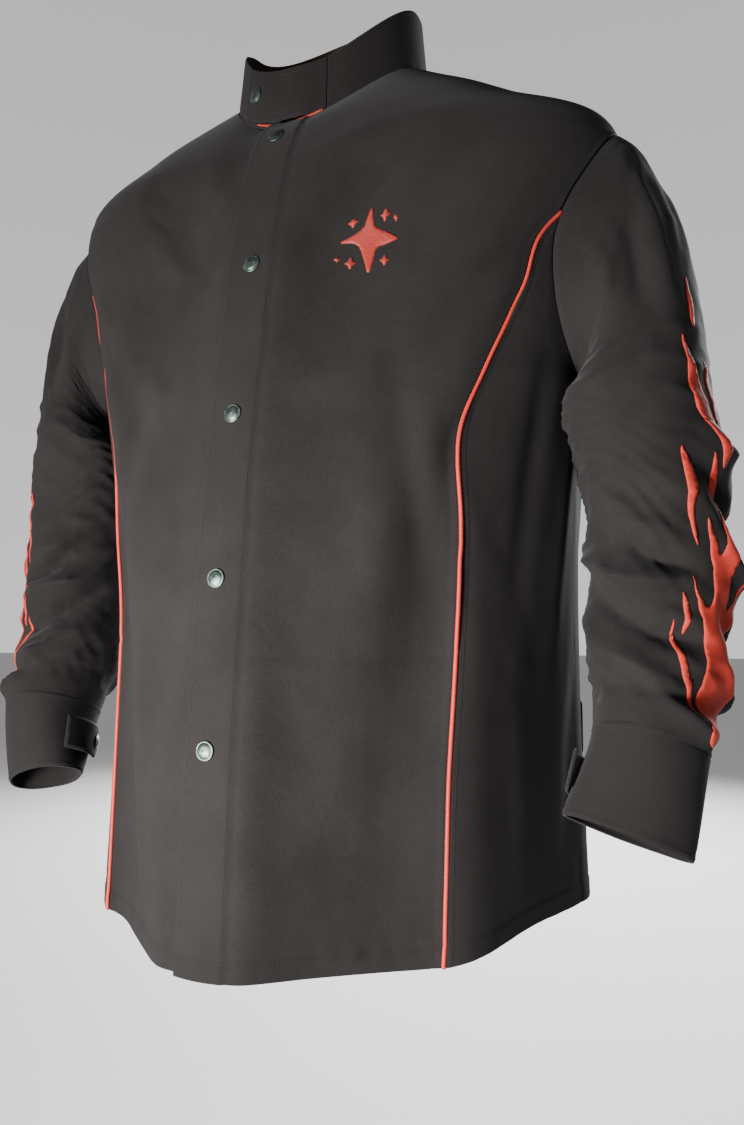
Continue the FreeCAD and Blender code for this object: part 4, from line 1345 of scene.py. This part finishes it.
RING_MM = 72.0
FLAME_TURN = 28.0
SLEEVE_SEAM_TURNS = (118.0, 232.0)
for name, side in SIDES:
    sleeve = refine(drape_sleeve(side), 2, True)
    rings = FINE_SLEEVE_RINGS
    turns = np.arange(sleeve.shape[1]) * 360.0 / sleeve.shape[1]
    sleeve = join_armhole(sleeve, name, turns, rings)
    sleeve = sleeve_folds(sleeve, outward(sleeve, True), side)
    normals = outward(sleeve, True)
    run = distances(sleeve, 0)
    rim = -0.7 * np.exp(-(run / 1.5) ** 2) + 0.5 * smoothstep(run / 2) * smoothstep((9.5 - run) / 2.5)
    sleeve = sleeve + normals * rim[..., None]
    for seam_turn in SLEEVE_SEAM_TURNS:
        sleeve = sleeve_seam(sleeve, normals, seam_turn, turns)
    normals = outward(sleeve, True)
    split = int(np.argmin(np.abs(rings - UPPER_END)))
    top_motion = name + "_top"
    low_motion = name + "_forearm"
    cloth_node(name + "_sleeve_top_cloth", sleeve[:split + 1], top_motion, "jacket_cloth",
               (name + "_sleeve_cap", name + "_upper_sleeve"), closed=True, rim=False)
    cloth_node(name + "_sleeve_low_cloth", sleeve[split:], low_motion, "jacket_cloth",
               (name + "_elbow_section", name + "_forearm_sleeve"), closed=True, rim=False,
               v_start=distances(sleeve, 0)[split])
    for rows, motion in ((slice(0, split + 1), top_motion), (slice(split, None), low_motion)):
        for seam_turn in SLEEVE_SEAM_TURNS:
            stitch(motion, *sleeve_line(sleeve[rows], normals[rows], turns, seam_turn, SEAM - 3.0))
            stitch(motion, *sleeve_line(sleeve[rows], normals[rows], turns, seam_turn, SEAM))
    for distance in (2.5, 8.5):
        row = int(np.argmin(np.abs(run.mean(1) - distance)))
        stitch(top_motion, *ring_line(sleeve, normals, row))

    # Cuff: a doubled band that overlaps the sleeve end.
    cuff_rows = np.concatenate([[7.93, 7.95], np.linspace(8.0, 9.0, 17)[:-1], [8.96, 8.985, 9.0]])
    cuff = refine(sleeve_grid(np.minimum(cuff_rows, 9.0), side, 1.012), 2, True)
    out = outward(cuff, True)
    down = distances(cuff, 0)
    wave = 0.5 * np.sin(np.radians(turns * 3 + 40)) + 0.35 * np.sin(np.radians(turns * 5 + 110))
    share = down / down.max()
    cuff = cuff + out * (wave[None, :, None] * (1.2 * share + 0.3)[..., None])
    cuff = cuff - (cuff - cuff.mean(1, keepdims=True)) * (0.075 * share)[..., None]
    ends = -0.6 * np.exp(-(down / 1.3) ** 2) - 0.6 * np.exp(-((down.max(0) - down) / 1.6) ** 2)
    row_groove = -0.35 * np.exp(-((down - 6.0) / 1.4) ** 2)
    row_groove -= 0.35 * np.exp(-((down.max(0) - down - 7.0) / 1.4) ** 2)
    cuff = cuff + out * (ends + row_groove)[..., None]
    out = outward(cuff, True)
    cloth_node(name + "_cuff_cloth", cuff, low_motion, "jacket_cloth", (name + "_cuff",),
               thickness=2.0, closed=True)
    for distance, from_end in ((2.6, False), (6.2, False), (3.0, True), (7.2, True)):
        span = down.mean(1)
        target = span[-1] - distance if from_end else distance
        stitch(low_motion, *ring_line(cuff, out, int(np.argmin(np.abs(span - target)))))

    # Flames
    place = sampler(sleeve, normals, turns, rings)

    def placed(x, y, place=place):
        return place(x, y / RING_MM)

    for number, corners in enumerate(FLAMES):
        outline = smooth_outline(corners)
        parts = [("", outline, low_motion)]
        if outline[:, 1].min() < UPPER_END < outline[:, 1].max():
            above, below = split_outline(outline, UPPER_END)
            parts = [("_up", above, top_motion), ("_low", below, low_motion)]
        elif outline[:, 1].max() <= UPPER_END:
            parts = [("", outline, top_motion)]
        for tag, shape, motion in parts:
            shape = shape * (1.0, RING_MM)
            flat, faces = filled(shape, 2.6)
            patch = patch_piece("%s_flame_%d%s" % (name, number + 1, tag), flat, faces, placed,
                                FLAME, 0.9)
            finish_piece(patch, MOTION[motion])

# --------------------------------------------------------------------------------------------
# Collar
# --------------------------------------------------------------------------------------------

COLLAR_HINGE, COLLAR_TAB_END, COLLAR_BAND_END = -68.0, -122.0, 264.0
TAB_LIFT = 5.6
FRONT_TALL, BACK_TALL = 50.0, 70.0


def collar_point(angle, rise, away=0.0):
    angle, rise, away = np.broadcast_arrays(
        np.asarray(angle, float), np.asarray(rise, float), np.asarray(away, float))
    seam = body_point(angle, 0.0)
    tall = FRONT_TALL + (BACK_TALL - FRONT_TALL) * (1 + np.sin(np.radians(angle))) / 2
    lean = 1 - 0.05 * rise + away / np.hypot(seam[..., 0], seam[..., 1])
    return np.stack([seam[..., 0] * lean, seam[..., 1] * lean,
                     seam[..., 2] + 1.5 + (tall - 1.5) * rise], -1)


def tab_offset(angle):
    return TAB_LIFT * smoothstep((COLLAR_HINGE - angle) / 20.0)


def collar_relief(grid, edges):
    """Doubled collar: rounded edges, a topstitch groove and a slight wave along the top."""
    normals = outward(grid)
    down = distances(grid, 0)
    across = distances(grid, 1)
    gaps = {"top": down, "foot": down.max(0) - down, "first": across,
            "last": across.max(1)[:, None] - across}
    shift = np.zeros(grid.shape[:2])
    for edge in edges:
        shift -= 0.7 * np.exp(-(gaps[edge] / 1.4) ** 2) + 0.4 * np.exp(-((gaps[edge] - 6) / 1.5) ** 2)
    share = gaps["foot"] / gaps["foot"].max()
    wave = 1.1 * np.sin(across / 31.0) + 0.7 * np.sin(across / 17.0 + 1.3)
    puckers = 0.22 * np.sin(across / 2.7) * np.exp(-(gaps["foot"] / 9) ** 2)
    return grid + normals * (shift + wave * share * 0.7 + puckers)[..., None]


# Rows of the collar, from its top edge to a foot tucked inside the neck seam.
rise = np.concatenate(
    [[1.0, 0.985, 0.96], np.linspace(0.92, 0.08, 22), [0.04, 0.0, -0.05, -0.1]])[:, None]
turn = np.concatenate([[COLLAR_HINGE + 0.3, COLLAR_HINGE + 1.2],
                       np.linspace(COLLAR_HINGE + 3, COLLAR_BAND_END - 2, 110),
                       [COLLAR_BAND_END - 0.8, COLLAR_BAND_END]])[None, :]
band = refine(collar_point(turn, rise), 2)
band = collar_relief(band, ("top", "foot", "last"))
normals = outward(band)
cloth_node("collar_band_cloth", band, "torso", "jacket_cloth", ("collar_band",), thickness=1.0)
inner = band - normals * 1.15
cloth_node("collar_lining_cloth", inner, "torso", "lining_cloth", ("collar_lining",),
           thickness=0.9, inner=LINING, outer=LINING)
stitch("torso", *line_beside_row(band, normals, 5.5))
stitch("torso", *line_beside_row(band, normals, 4.0, True))
stitch("torso", *line_beside_column(band, normals, 5.0, True))
stitch("torso", *line_beside_column(band, normals, 2.6))

tab_turn = np.concatenate([[COLLAR_HINGE - 0.2, COLLAR_HINGE - 1.0],
                           np.linspace(COLLAR_HINGE - 2.5, COLLAR_TAB_END + 2, 26),
                           [COLLAR_TAB_END + 0.8, COLLAR_TAB_END]])[None, :]
tab_rise = np.concatenate([rise[:-3], [[0.015], [0.0]]])
tab = collar_point(tab_turn, tab_rise, tab_offset(tab_turn))
tab = refine(tab, 2)
tab = collar_relief(tab, ("top", "foot", "last"))
normals = outward(tab)
MOTION["collar_tab"] = bends()
cloth_node("collar_tab_cloth", tab, "collar_tab", "jacket_cloth", ("collar_tab",), thickness=1.9)
stitch("collar_tab", *line_beside_row(tab, normals, 5.5))
stitch("collar_tab", *line_beside_row(tab, normals, 5.0, True))
stitch("collar_tab", *line_beside_column(tab, normals, 5.0, True))
stitch("collar_tab", *line_beside_column(tab, normals, 2.6))

# --------------------------------------------------------------------------------------------
# Snaps
# --------------------------------------------------------------------------------------------


def turned(profile, frame_matrix, name, material, sides=40):
    """Surface of revolution about the frame's Z axis from a profile of (radius, height) in mm."""
    turns = np.arange(sides) * 2 * math.pi / sides
    points = []
    uv = []
    run = 0.0
    last = profile[0]
    for radius, height in profile:
        run += math.hypot(radius - last[0], height - last[1])
        last = (radius, height)
        for turn_at in turns:
            local = Vector((radius * math.cos(turn_at), radius * math.sin(turn_at), height))
            points.append(frame_matrix @ local)
            uv.append((turn_at * 5, run))
    faces = grid_faces(len(profile), sides, True)
    count = len(points)
    faces.append(tuple(reversed(range(sides))))
    faces.append(tuple(range(count - sides, count)))
    return new_object(name, np.array([tuple(p) for p in points]), faces, [material], uv)


CAP_PROFILE = [(6.9, 0.0), (7.35, 0.15), (7.5, 0.5), (7.45, 0.85), (7.15, 1.12), (6.7, 1.2),
               (6.35, 1.12), (6.1, 1.1), (5.85, 1.25), (5.3, 1.62), (4.5, 1.98), (3.5, 2.26),
               (2.4, 2.45), (1.2, 2.56), (0.3, 2.6)]
SOCKET_PROFILE = [(4.0, 0.0), (5.6, 0.0), (6.35, 0.25), (6.5, 0.7), (6.2, 1.1), (5.4, 1.2), (4.5, 1.15),
                  (4.1, 1.0), (3.95, 0.5)]
STUD_PROFILE = [(6.1, 0.0), (6.5, 0.2), (6.45, 0.55), (6.0, 0.78), (4.2, 0.8), (3.2, 0.85), (2.45, 1.0),
                (2.3, 1.3), (2.6, 1.65), (2.7, 1.85), (2.4, 2.05), (1.2, 2.1), (0.3, 2.1)]


def frame_on(point, normal, depth=0.0):
    """Matrix in mm with Z along the normal, a depth inside the surface."""
    normal = Vector(tuple(normal)).normalized()
    spin = normal.to_track_quat("Z", "Y").to_matrix().to_4x4()
    return Matrix.Translation(Vector(tuple(point)) - normal * depth) @ spin


def snap_piece(kind, name, point, normal, depth, motion, nodes=()):
    profile, material, slot = {
        "cap": (CAP_PROFILE, CAP_METAL, "snap_cap_metal"),
        "socket": (SOCKET_PROFILE, SNAP_METAL, "snap_metal"),
        "stud": (STUD_PROFILE, SNAP_METAL, "snap_metal")}[kind]
    piece = turned(profile, frame_on(point, normal, depth), name, material)
    return finish_piece(piece, motion, nodes)


def nearest_on(grid, place):
    """Row and column of the grid point nearest to a place."""
    gap = np.linalg.norm(grid - place, axis=-1)
    return np.unravel_index(np.argmin(gap), gap.shape)


FIRST_SNAP, SNAP_SPACING = -67.0, 127.5
COLLAR_SNAP_TURN = -113.0
body_front = refine(body_grids["left_front"], FINE)
front_normals = outward(body_front)
for index in range(5):
    height = FIRST_SNAP - SNAP_SPACING * index
    place = body_point(FRONT, ring_at_front(height))
    row, column = nearest_on(body_front, place)
    normal = front_normals[row, column]
    point = body_front[row, column] + normal * 1.2
    level = "upper" if index < 3 else "lower"
    first = index in (0, 3)
    names = [("front_snap_%s_%s" % (kind, level),) if first else () for kind in
             ("caps", "sockets", "studs")]
    snap_piece("cap", "front_cap_%d" % (index + 1), point, normal, -0.02, MOTION["left_front"], names[0])
    snap_piece("socket", "front_socket_%d" % (index + 1), point, normal, 3.8, MOTION["left_front"],
               names[1])
    snap_piece("stud", "front_stud_%d" % (index + 1), point, normal, 4.6, MOTION["right_front"],
               names[2])

tab_normals = outward(tab)
place = collar_point(COLLAR_SNAP_TURN, 0.5, tab_offset(COLLAR_SNAP_TURN))
row, column = nearest_on(tab, place)
point, normal = tab[row, column], tab_normals[row, column]
snap_piece("cap", "collar_cap", point, normal, 0.05, MOTION["collar_tab"], ("collar_snap_cap",))
snap_piece("socket", "collar_socket", point, normal, 3.2, MOTION["collar_tab"], ("collar_snap_socket",))
row, column = nearest_on(band, collar_point(COLLAR_SNAP_TURN, 0.5))
snap_piece("stud", "collar_stud", band[row, column], outward(band)[row, column], 0.05,
           MOTION["torso"], ("collar_snap_stud",))

# --------------------------------------------------------------------------------------------
# Snap tabs of the cuffs and the waist
# --------------------------------------------------------------------------------------------


def rounded(corners, radius):
    """Closed outline with each corner cut round, and points along its straight runs."""
    corners = np.array(corners, float)
    points = []
    for before, corner, after in zip(np.roll(corners, 1, 0), corners, np.roll(corners, -1, 0)):
        back = before - corner
        ahead = after - corner
        cut_back = min(radius, np.linalg.norm(back) * 0.45)
        cut_ahead = min(radius, np.linalg.norm(ahead) * 0.45)
        first = corner + back / np.linalg.norm(back) * cut_back
        last = corner + ahead / np.linalg.norm(ahead) * cut_ahead
        for t in (0.0, 0.25, 0.5, 0.75, 1.0):
            points.append((1 - t) ** 2 * first + 2 * t * (1 - t) * corner + t * t * last)
    points = np.array(points)
    dense = []
    for a, b in zip(points, np.roll(points, -1, 0)):
        count = max(1, int(np.linalg.norm(b - a) // 3.0))
        dense += [a + (b - a) * k / count for k in range(count)]
    return np.array(dense)


def strap_corners(length, half, pointed, inset=0.0):
    shoulder = length - half * (0.75 if pointed else 0.3)
    half -= inset
    return [(inset, -half), (shoulder - inset * 0.4, -half), (length - inset, -half * 0.35),
            (length - inset, half * 0.35), (shoulder - inset * 0.4, half), (inset, half)]


def snap_tab(label, point, out, along, length, width, pointed, bend, under, motion, ground):
    """Curved strap, its snap and its stitches; bend is the radius that it hugs."""
    out, along = np.array(out), np.array(along)
    out = out - along * (out @ along)
    out /= np.linalg.norm(out)
    sideways = np.cross(out, along)
    reach = length - width * 0.45

    def place(x, y):
        run = x - under
        turn_at = run / bend if run < 0 else 0.25 * run / bend
        radius = bend if run < 0 else bend * 4
        spot = (point + out * 2.4 + along * radius * math.sin(turn_at)
                - out * radius * (1 - math.cos(turn_at)) + sideways * y)
        return spot, out * math.cos(turn_at) + along * math.sin(turn_at)

    outline = rounded(strap_corners(length, width / 2, pointed), 2.2)
    flat, faces = filled(outline, 3.0)
    strap = patch_piece(label + "_cloth", flat, faces, place, CLOTH, 2.0, 0.0, 0.45)
    finish_piece(strap, motion, (label,))
    threads = Stitches()
    path = rounded(strap_corners(length, width / 2, pointed, 2.6), 1.6)
    path = np.concatenate([path, path[:1]])
    spots = [place(x, y) for x, y in path]
    line = np.array([spot + normal * 2.0 for spot, normal in spots])
    up = np.array([normal for spot, normal in spots])
    threads.add(line, up)
    threads.build(label + "_threads", THREAD, motion)
    spot, normal = place(reach, 0.0)
    snap_piece("cap", label + "_cap", spot + normal * 2.0, normal, 0.0, motion, (label + "_snap_cap",))
    snap_piece("socket", label + "_socket", spot, normal, 1.15, motion, (label + "_snap_socket",))
    snap_piece("stud", label + "_post", spot - normal * 2.5, normal, 0.0, ground, (label + "_stud",))


CUFF_SNAP_TURN = 222.0
WAIST_SNAP_ANGLE, WAIST_SNAP_RING = 20.0, 7.05


def cuff_snap():
    def at(position, turn_at):
        return Vector(sleeve_point(position, turn_at))

    middle = FOREARM_END + 0.5
    point = at(middle, CUFF_SNAP_TURN)
    along = (at(middle, CUFF_SNAP_TURN + 5.7) - at(middle, CUFF_SNAP_TURN - 5.7)).normalized()
    down = at(middle + 0.2, CUFF_SNAP_TURN) - at(middle - 0.2, CUFF_SNAP_TURN)
    out = down.cross(along).normalized()
    return point, -out if out.x > 0 else out, along


def waist_middle():
    angle, ring = WAIST_SNAP_ANGLE, WAIST_SNAP_RING
    around = body_point(angle + 0.5, ring) - body_point(angle - 0.5, ring)
    down = body_point(angle, ring + 0.05) - body_point(angle, ring - 0.05)
    out = Vector(np.cross(down, around)).normalized()
    if out.x < 0:
        out = -out
    return Vector(body_point(angle, ring)), out, Vector((-out.y, out.x, 0)).normalized()


def mirrored(vector, side):
    return np.array((vector[0] * side, vector[1], vector[2]))


for name, side in SIDES:
    point, out, along = (mirrored(v, side) for v in cuff_snap())
    motion = bends()
    snap_tab(name + "_cuff_tab", point, out, along, 62.0, 32.0, True, 50.0, 47.6, motion,
             rides(name + "_forearm"))
    point, out, along = (mirrored(v, side) for v in waist_middle())
    point = shaped(point)
    motion = bends()
    snap_tab(name + "_waist_tab", point, out, along, 74.0, 44.0, False, 170.0, 37.0, motion,
             rides("torso"))

# --------------------------------------------------------------------------------------------
# Inside of the neck, chest mark and bar tacks
# --------------------------------------------------------------------------------------------

back = collar_point(90.0, 0.35, -3.0)
share = np.linspace(-1, 1, 41)
centre_line = np.stack([29 * share, back[1] - 1.5 - 8.0 * (1 - share ** 2) ** 0.8,
                        back[2] + 8.0 - 15.0 * (1 - share ** 4)], -1)
across = np.linspace(3.0, -3.0, 7)
tangent = np.gradient(centre_line, axis=0)
tangent /= np.linalg.norm(tangent, axis=1, keepdims=True)
width_way = np.cross(tangent, (0, -1, 0))
width_way /= np.linalg.norm(width_way, axis=1, keepdims=True)
loop = centre_line[None] + across[:, None, None] * width_way[None]
piece = cloth_piece("hanger_loop_strip", loop, 1.5, [LINING, LINING])
finish_piece(piece, MOTION["torso"], ("hanger_loop",))

low, high = (np.array(corner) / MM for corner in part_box("neck_label"))
xs = np.linspace(low[0], high[0], 25)
zs = np.linspace(high[2], low[2], 15)
rim = 0.35 * np.maximum(np.abs(xs / xs.max()) > 0.9, (np.abs(zs - zs.mean())[:, None]
                                                    > 0.85 * np.ptp(zs) / 2))
label = np.stack(np.broadcast_arrays(xs[None, :], low[1] + 0.5 - rim, zs[:, None]), -1)
piece = cloth_piece("neck_label_patch", label, 0.6, [LABEL, LABEL])
finish_piece(piece, MOTION["torso"], ("neck_label",))

front = refine(body_grids["left_front"], FINE)
front = add_folds(front, outward(front), FRONT_FOLDS)
front_out = outward(front)
flat_grid = front.reshape(-1, 3)
flat_normals = front_out.reshape(-1, 3)


def on_front(target):
    """Point and normal of the left front nearest to a target."""
    index = np.argmin(((flat_grid - target) ** 2).sum(1))
    normal = flat_normals[index]
    return target - normal * ((target - flat_grid[index]) @ normal), normal


MARK_PLACE = np.array((96.0, -141.0, -178.0))
_, mark_out = on_front(MARK_PLACE)
mark_right = np.cross((0, 0, 1.0), mark_out)
mark_right = -mark_right / np.linalg.norm(mark_right)
mark_right = mark_right if mark_right[0] > 0 else -mark_right
mark_up = np.cross(mark_out, mark_right)
mark_up = mark_up if mark_up[2] > 0 else -mark_up


def on_mark(x, y):
    return on_front(MARK_PLACE + mark_right * x + mark_up * y)


SPARK = [(0, 31), (3, 17), (6, 8), (14, 5), (25, 2), (13, -2), (6, -5), (4, -15), (1, -29), (-3, -15),
         (-6, -5), (-13, -1), (-24, 1), (-13, 5), (-6, 8), (-3, 18)]
SMALL_SPARKS = [(15, 17, 7), (-15, 17, 6), (13, -16, 6), (-13, -16, 7), (24, 14, 3), (-23, -12, 3)]
shapes = [SPARK] + [[(x, y + r), (x + r * 0.32, y + r * 0.25), (x + r * 0.8, y), (x + r * 0.32, y - r * 0.25),
                     (x, y - r), (x - r * 0.32, y - r * 0.25), (x - r * 0.8, y), (x - r * 0.32, y + r * 0.25)]
                    for x, y, r in SMALL_SPARKS]
for number, corners in enumerate(shapes):
    outline = smooth_outline(corners, rounds=1)
    flat, faces = filled(outline, 2.0)
    patch = patch_piece("chest_mark_%d" % (number + 1), flat, faces, on_mark, MARK, 0.8)
    finish_piece(patch, MOTION["left_front"])

for number, (first, last) in enumerate(((-112.0, -101.0), (-84.0, -70.0))):
    turns_at = np.linspace(first, last, 14)
    line = body_point(turns_at, 0.06)
    up = grid_normals(body_point(turns_at[None, :], np.array([0.02, 0.06, 0.1])[:, None]))[1]
    up = up * np.sign(np.sum(up * (line - (0, 0, line[0, 2]))))
    cord = tube_piece("neck_tack_%d" % (number + 1), line + up * 0.7, up, 0.85, PIPING, 8)
    finish_piece(cord, MOTION["torso"])

for motion, rows in stitching.items():
    rows.build(motion + "_threads", THREAD, MOTION[motion])

# --------------------------------------------------------------------------------------------
# Stage, lights and camera
# --------------------------------------------------------------------------------------------

FLOOR_Z = -1.02
FLOOR_RADIUS = 14.0
PAINT = plain_material("studio_paint", (0.62, 0.617, 0.622), 0.9)
sides = 96
ring_points = [(FLOOR_RADIUS * math.cos(a), FLOOR_RADIUS * math.sin(a), FLOOR_Z)
               for a in np.arange(sides) * 2 * math.pi / sides]
mesh = bpy.data.meshes.new("studio_floor")
mesh.from_pydata(ring_points, [], [tuple(range(sides))])
mesh.materials.append(PAINT)
floor = bpy.data.objects.new("studio_floor", mesh)
bpy.context.scene.collection.objects.link(floor)

world = bpy.data.worlds.new("studio")
world.use_nodes = True
sky_tree = world.node_tree
direction = sky_tree.nodes.new("ShaderNodeTexCoord").outputs["Generated"]
height_of = sky_tree.nodes.new("ShaderNodeSeparateXYZ")
sky_tree.links.new(direction, height_of.inputs[0])
sky_ramp = sky_tree.nodes.new("ShaderNodeValToRGB")
# Level of the world light by the height of its direction: bright at the sides, dim overhead.
SKY_LEVELS = ((0.0, 0.84), (0.12, 0.80), (0.62, 0.62), (0.8, 0.16), (1.0, 0.08))
while len(sky_ramp.color_ramp.elements) < len(SKY_LEVELS):
    sky_ramp.color_ramp.elements.new(0.5)
for stop, (place, level) in zip(sky_ramp.color_ramp.elements, SKY_LEVELS):
    stop.position = place
    stop.color = (level, level * 0.993, level, 1)
sky_tree.links.new(height_of.outputs["Z"], sky_ramp.inputs[0])
sky_tree.links.new(sky_ramp.outputs[0], sky_tree.nodes["Background"].inputs[0])
sky_tree.nodes["Background"].inputs[1].default_value = 1.0
bpy.context.scene.world = world


def area_light(name, place, target, size, power, colour=(1, 1, 1), spread=120):
    light = bpy.data.lights.new(name, "AREA")
    light.shape = "RECTANGLE"
    light.size, light.size_y = size
    light.energy = power
    light.color = colour
    light.spread = math.radians(spread)
    lamp = bpy.data.objects.new(name, light)
    bpy.context.scene.collection.objects.link(lamp)
    lamp.location = place
    lamp.visible_camera = False
    aim = Vector(target) - Vector(place)
    lamp.rotation_euler = aim.to_track_quat("-Z", "Y").to_euler()


area_light("key", (-0.27, -1.15, -0.80), (0.06, -0.1, -0.47), (0.5, 0.4), 33, (1.0, 0.985, 0.97), 75)
area_light("rim", (0.9, 2.5, 0.5), (0, 0, -0.3), (1.2, 1.4), 85, (0.97, 0.985, 1.0))
area_light("back", (-1.0, 2.4, 0.1), (0, 0, -0.35), (1.4, 1.4), 95)

CAMERA_PLACE = (0.35874, -0.72621, -0.48169)
CAMERA_LENS = 41.276
AZIMUTH, PITCH, ROLL = math.radians(23.395), math.radians(3.964), math.radians(0.452)
level_right = Vector((math.cos(AZIMUTH), math.sin(AZIMUTH), 0))
level_ahead = Vector((-math.sin(AZIMUTH), math.cos(AZIMUTH), 0))
ahead = level_ahead * math.cos(PITCH) + Vector((0, 0, math.sin(PITCH)))
up = Vector((0, 0, math.cos(PITCH))) - level_ahead * math.sin(PITCH)
right = level_right * math.cos(ROLL) + up * math.sin(ROLL)
upright = up * math.cos(ROLL) - level_right * math.sin(ROLL)
camera_data = bpy.data.cameras.new("camera")
camera_data.sensor_fit = "HORIZONTAL"
camera_data.sensor_width = 36.0
camera_data.lens = CAMERA_LENS
camera_data.clip_start = 0.01
camera = bpy.data.objects.new("camera", camera_data)
bpy.context.scene.collection.objects.link(camera)
turn_matrix = Matrix((right, upright, -ahead)).transposed().to_4x4()
camera.matrix_world = Matrix.Translation(CAMERA_PLACE) @ turn_matrix
bpy.context.scene.camera = camera

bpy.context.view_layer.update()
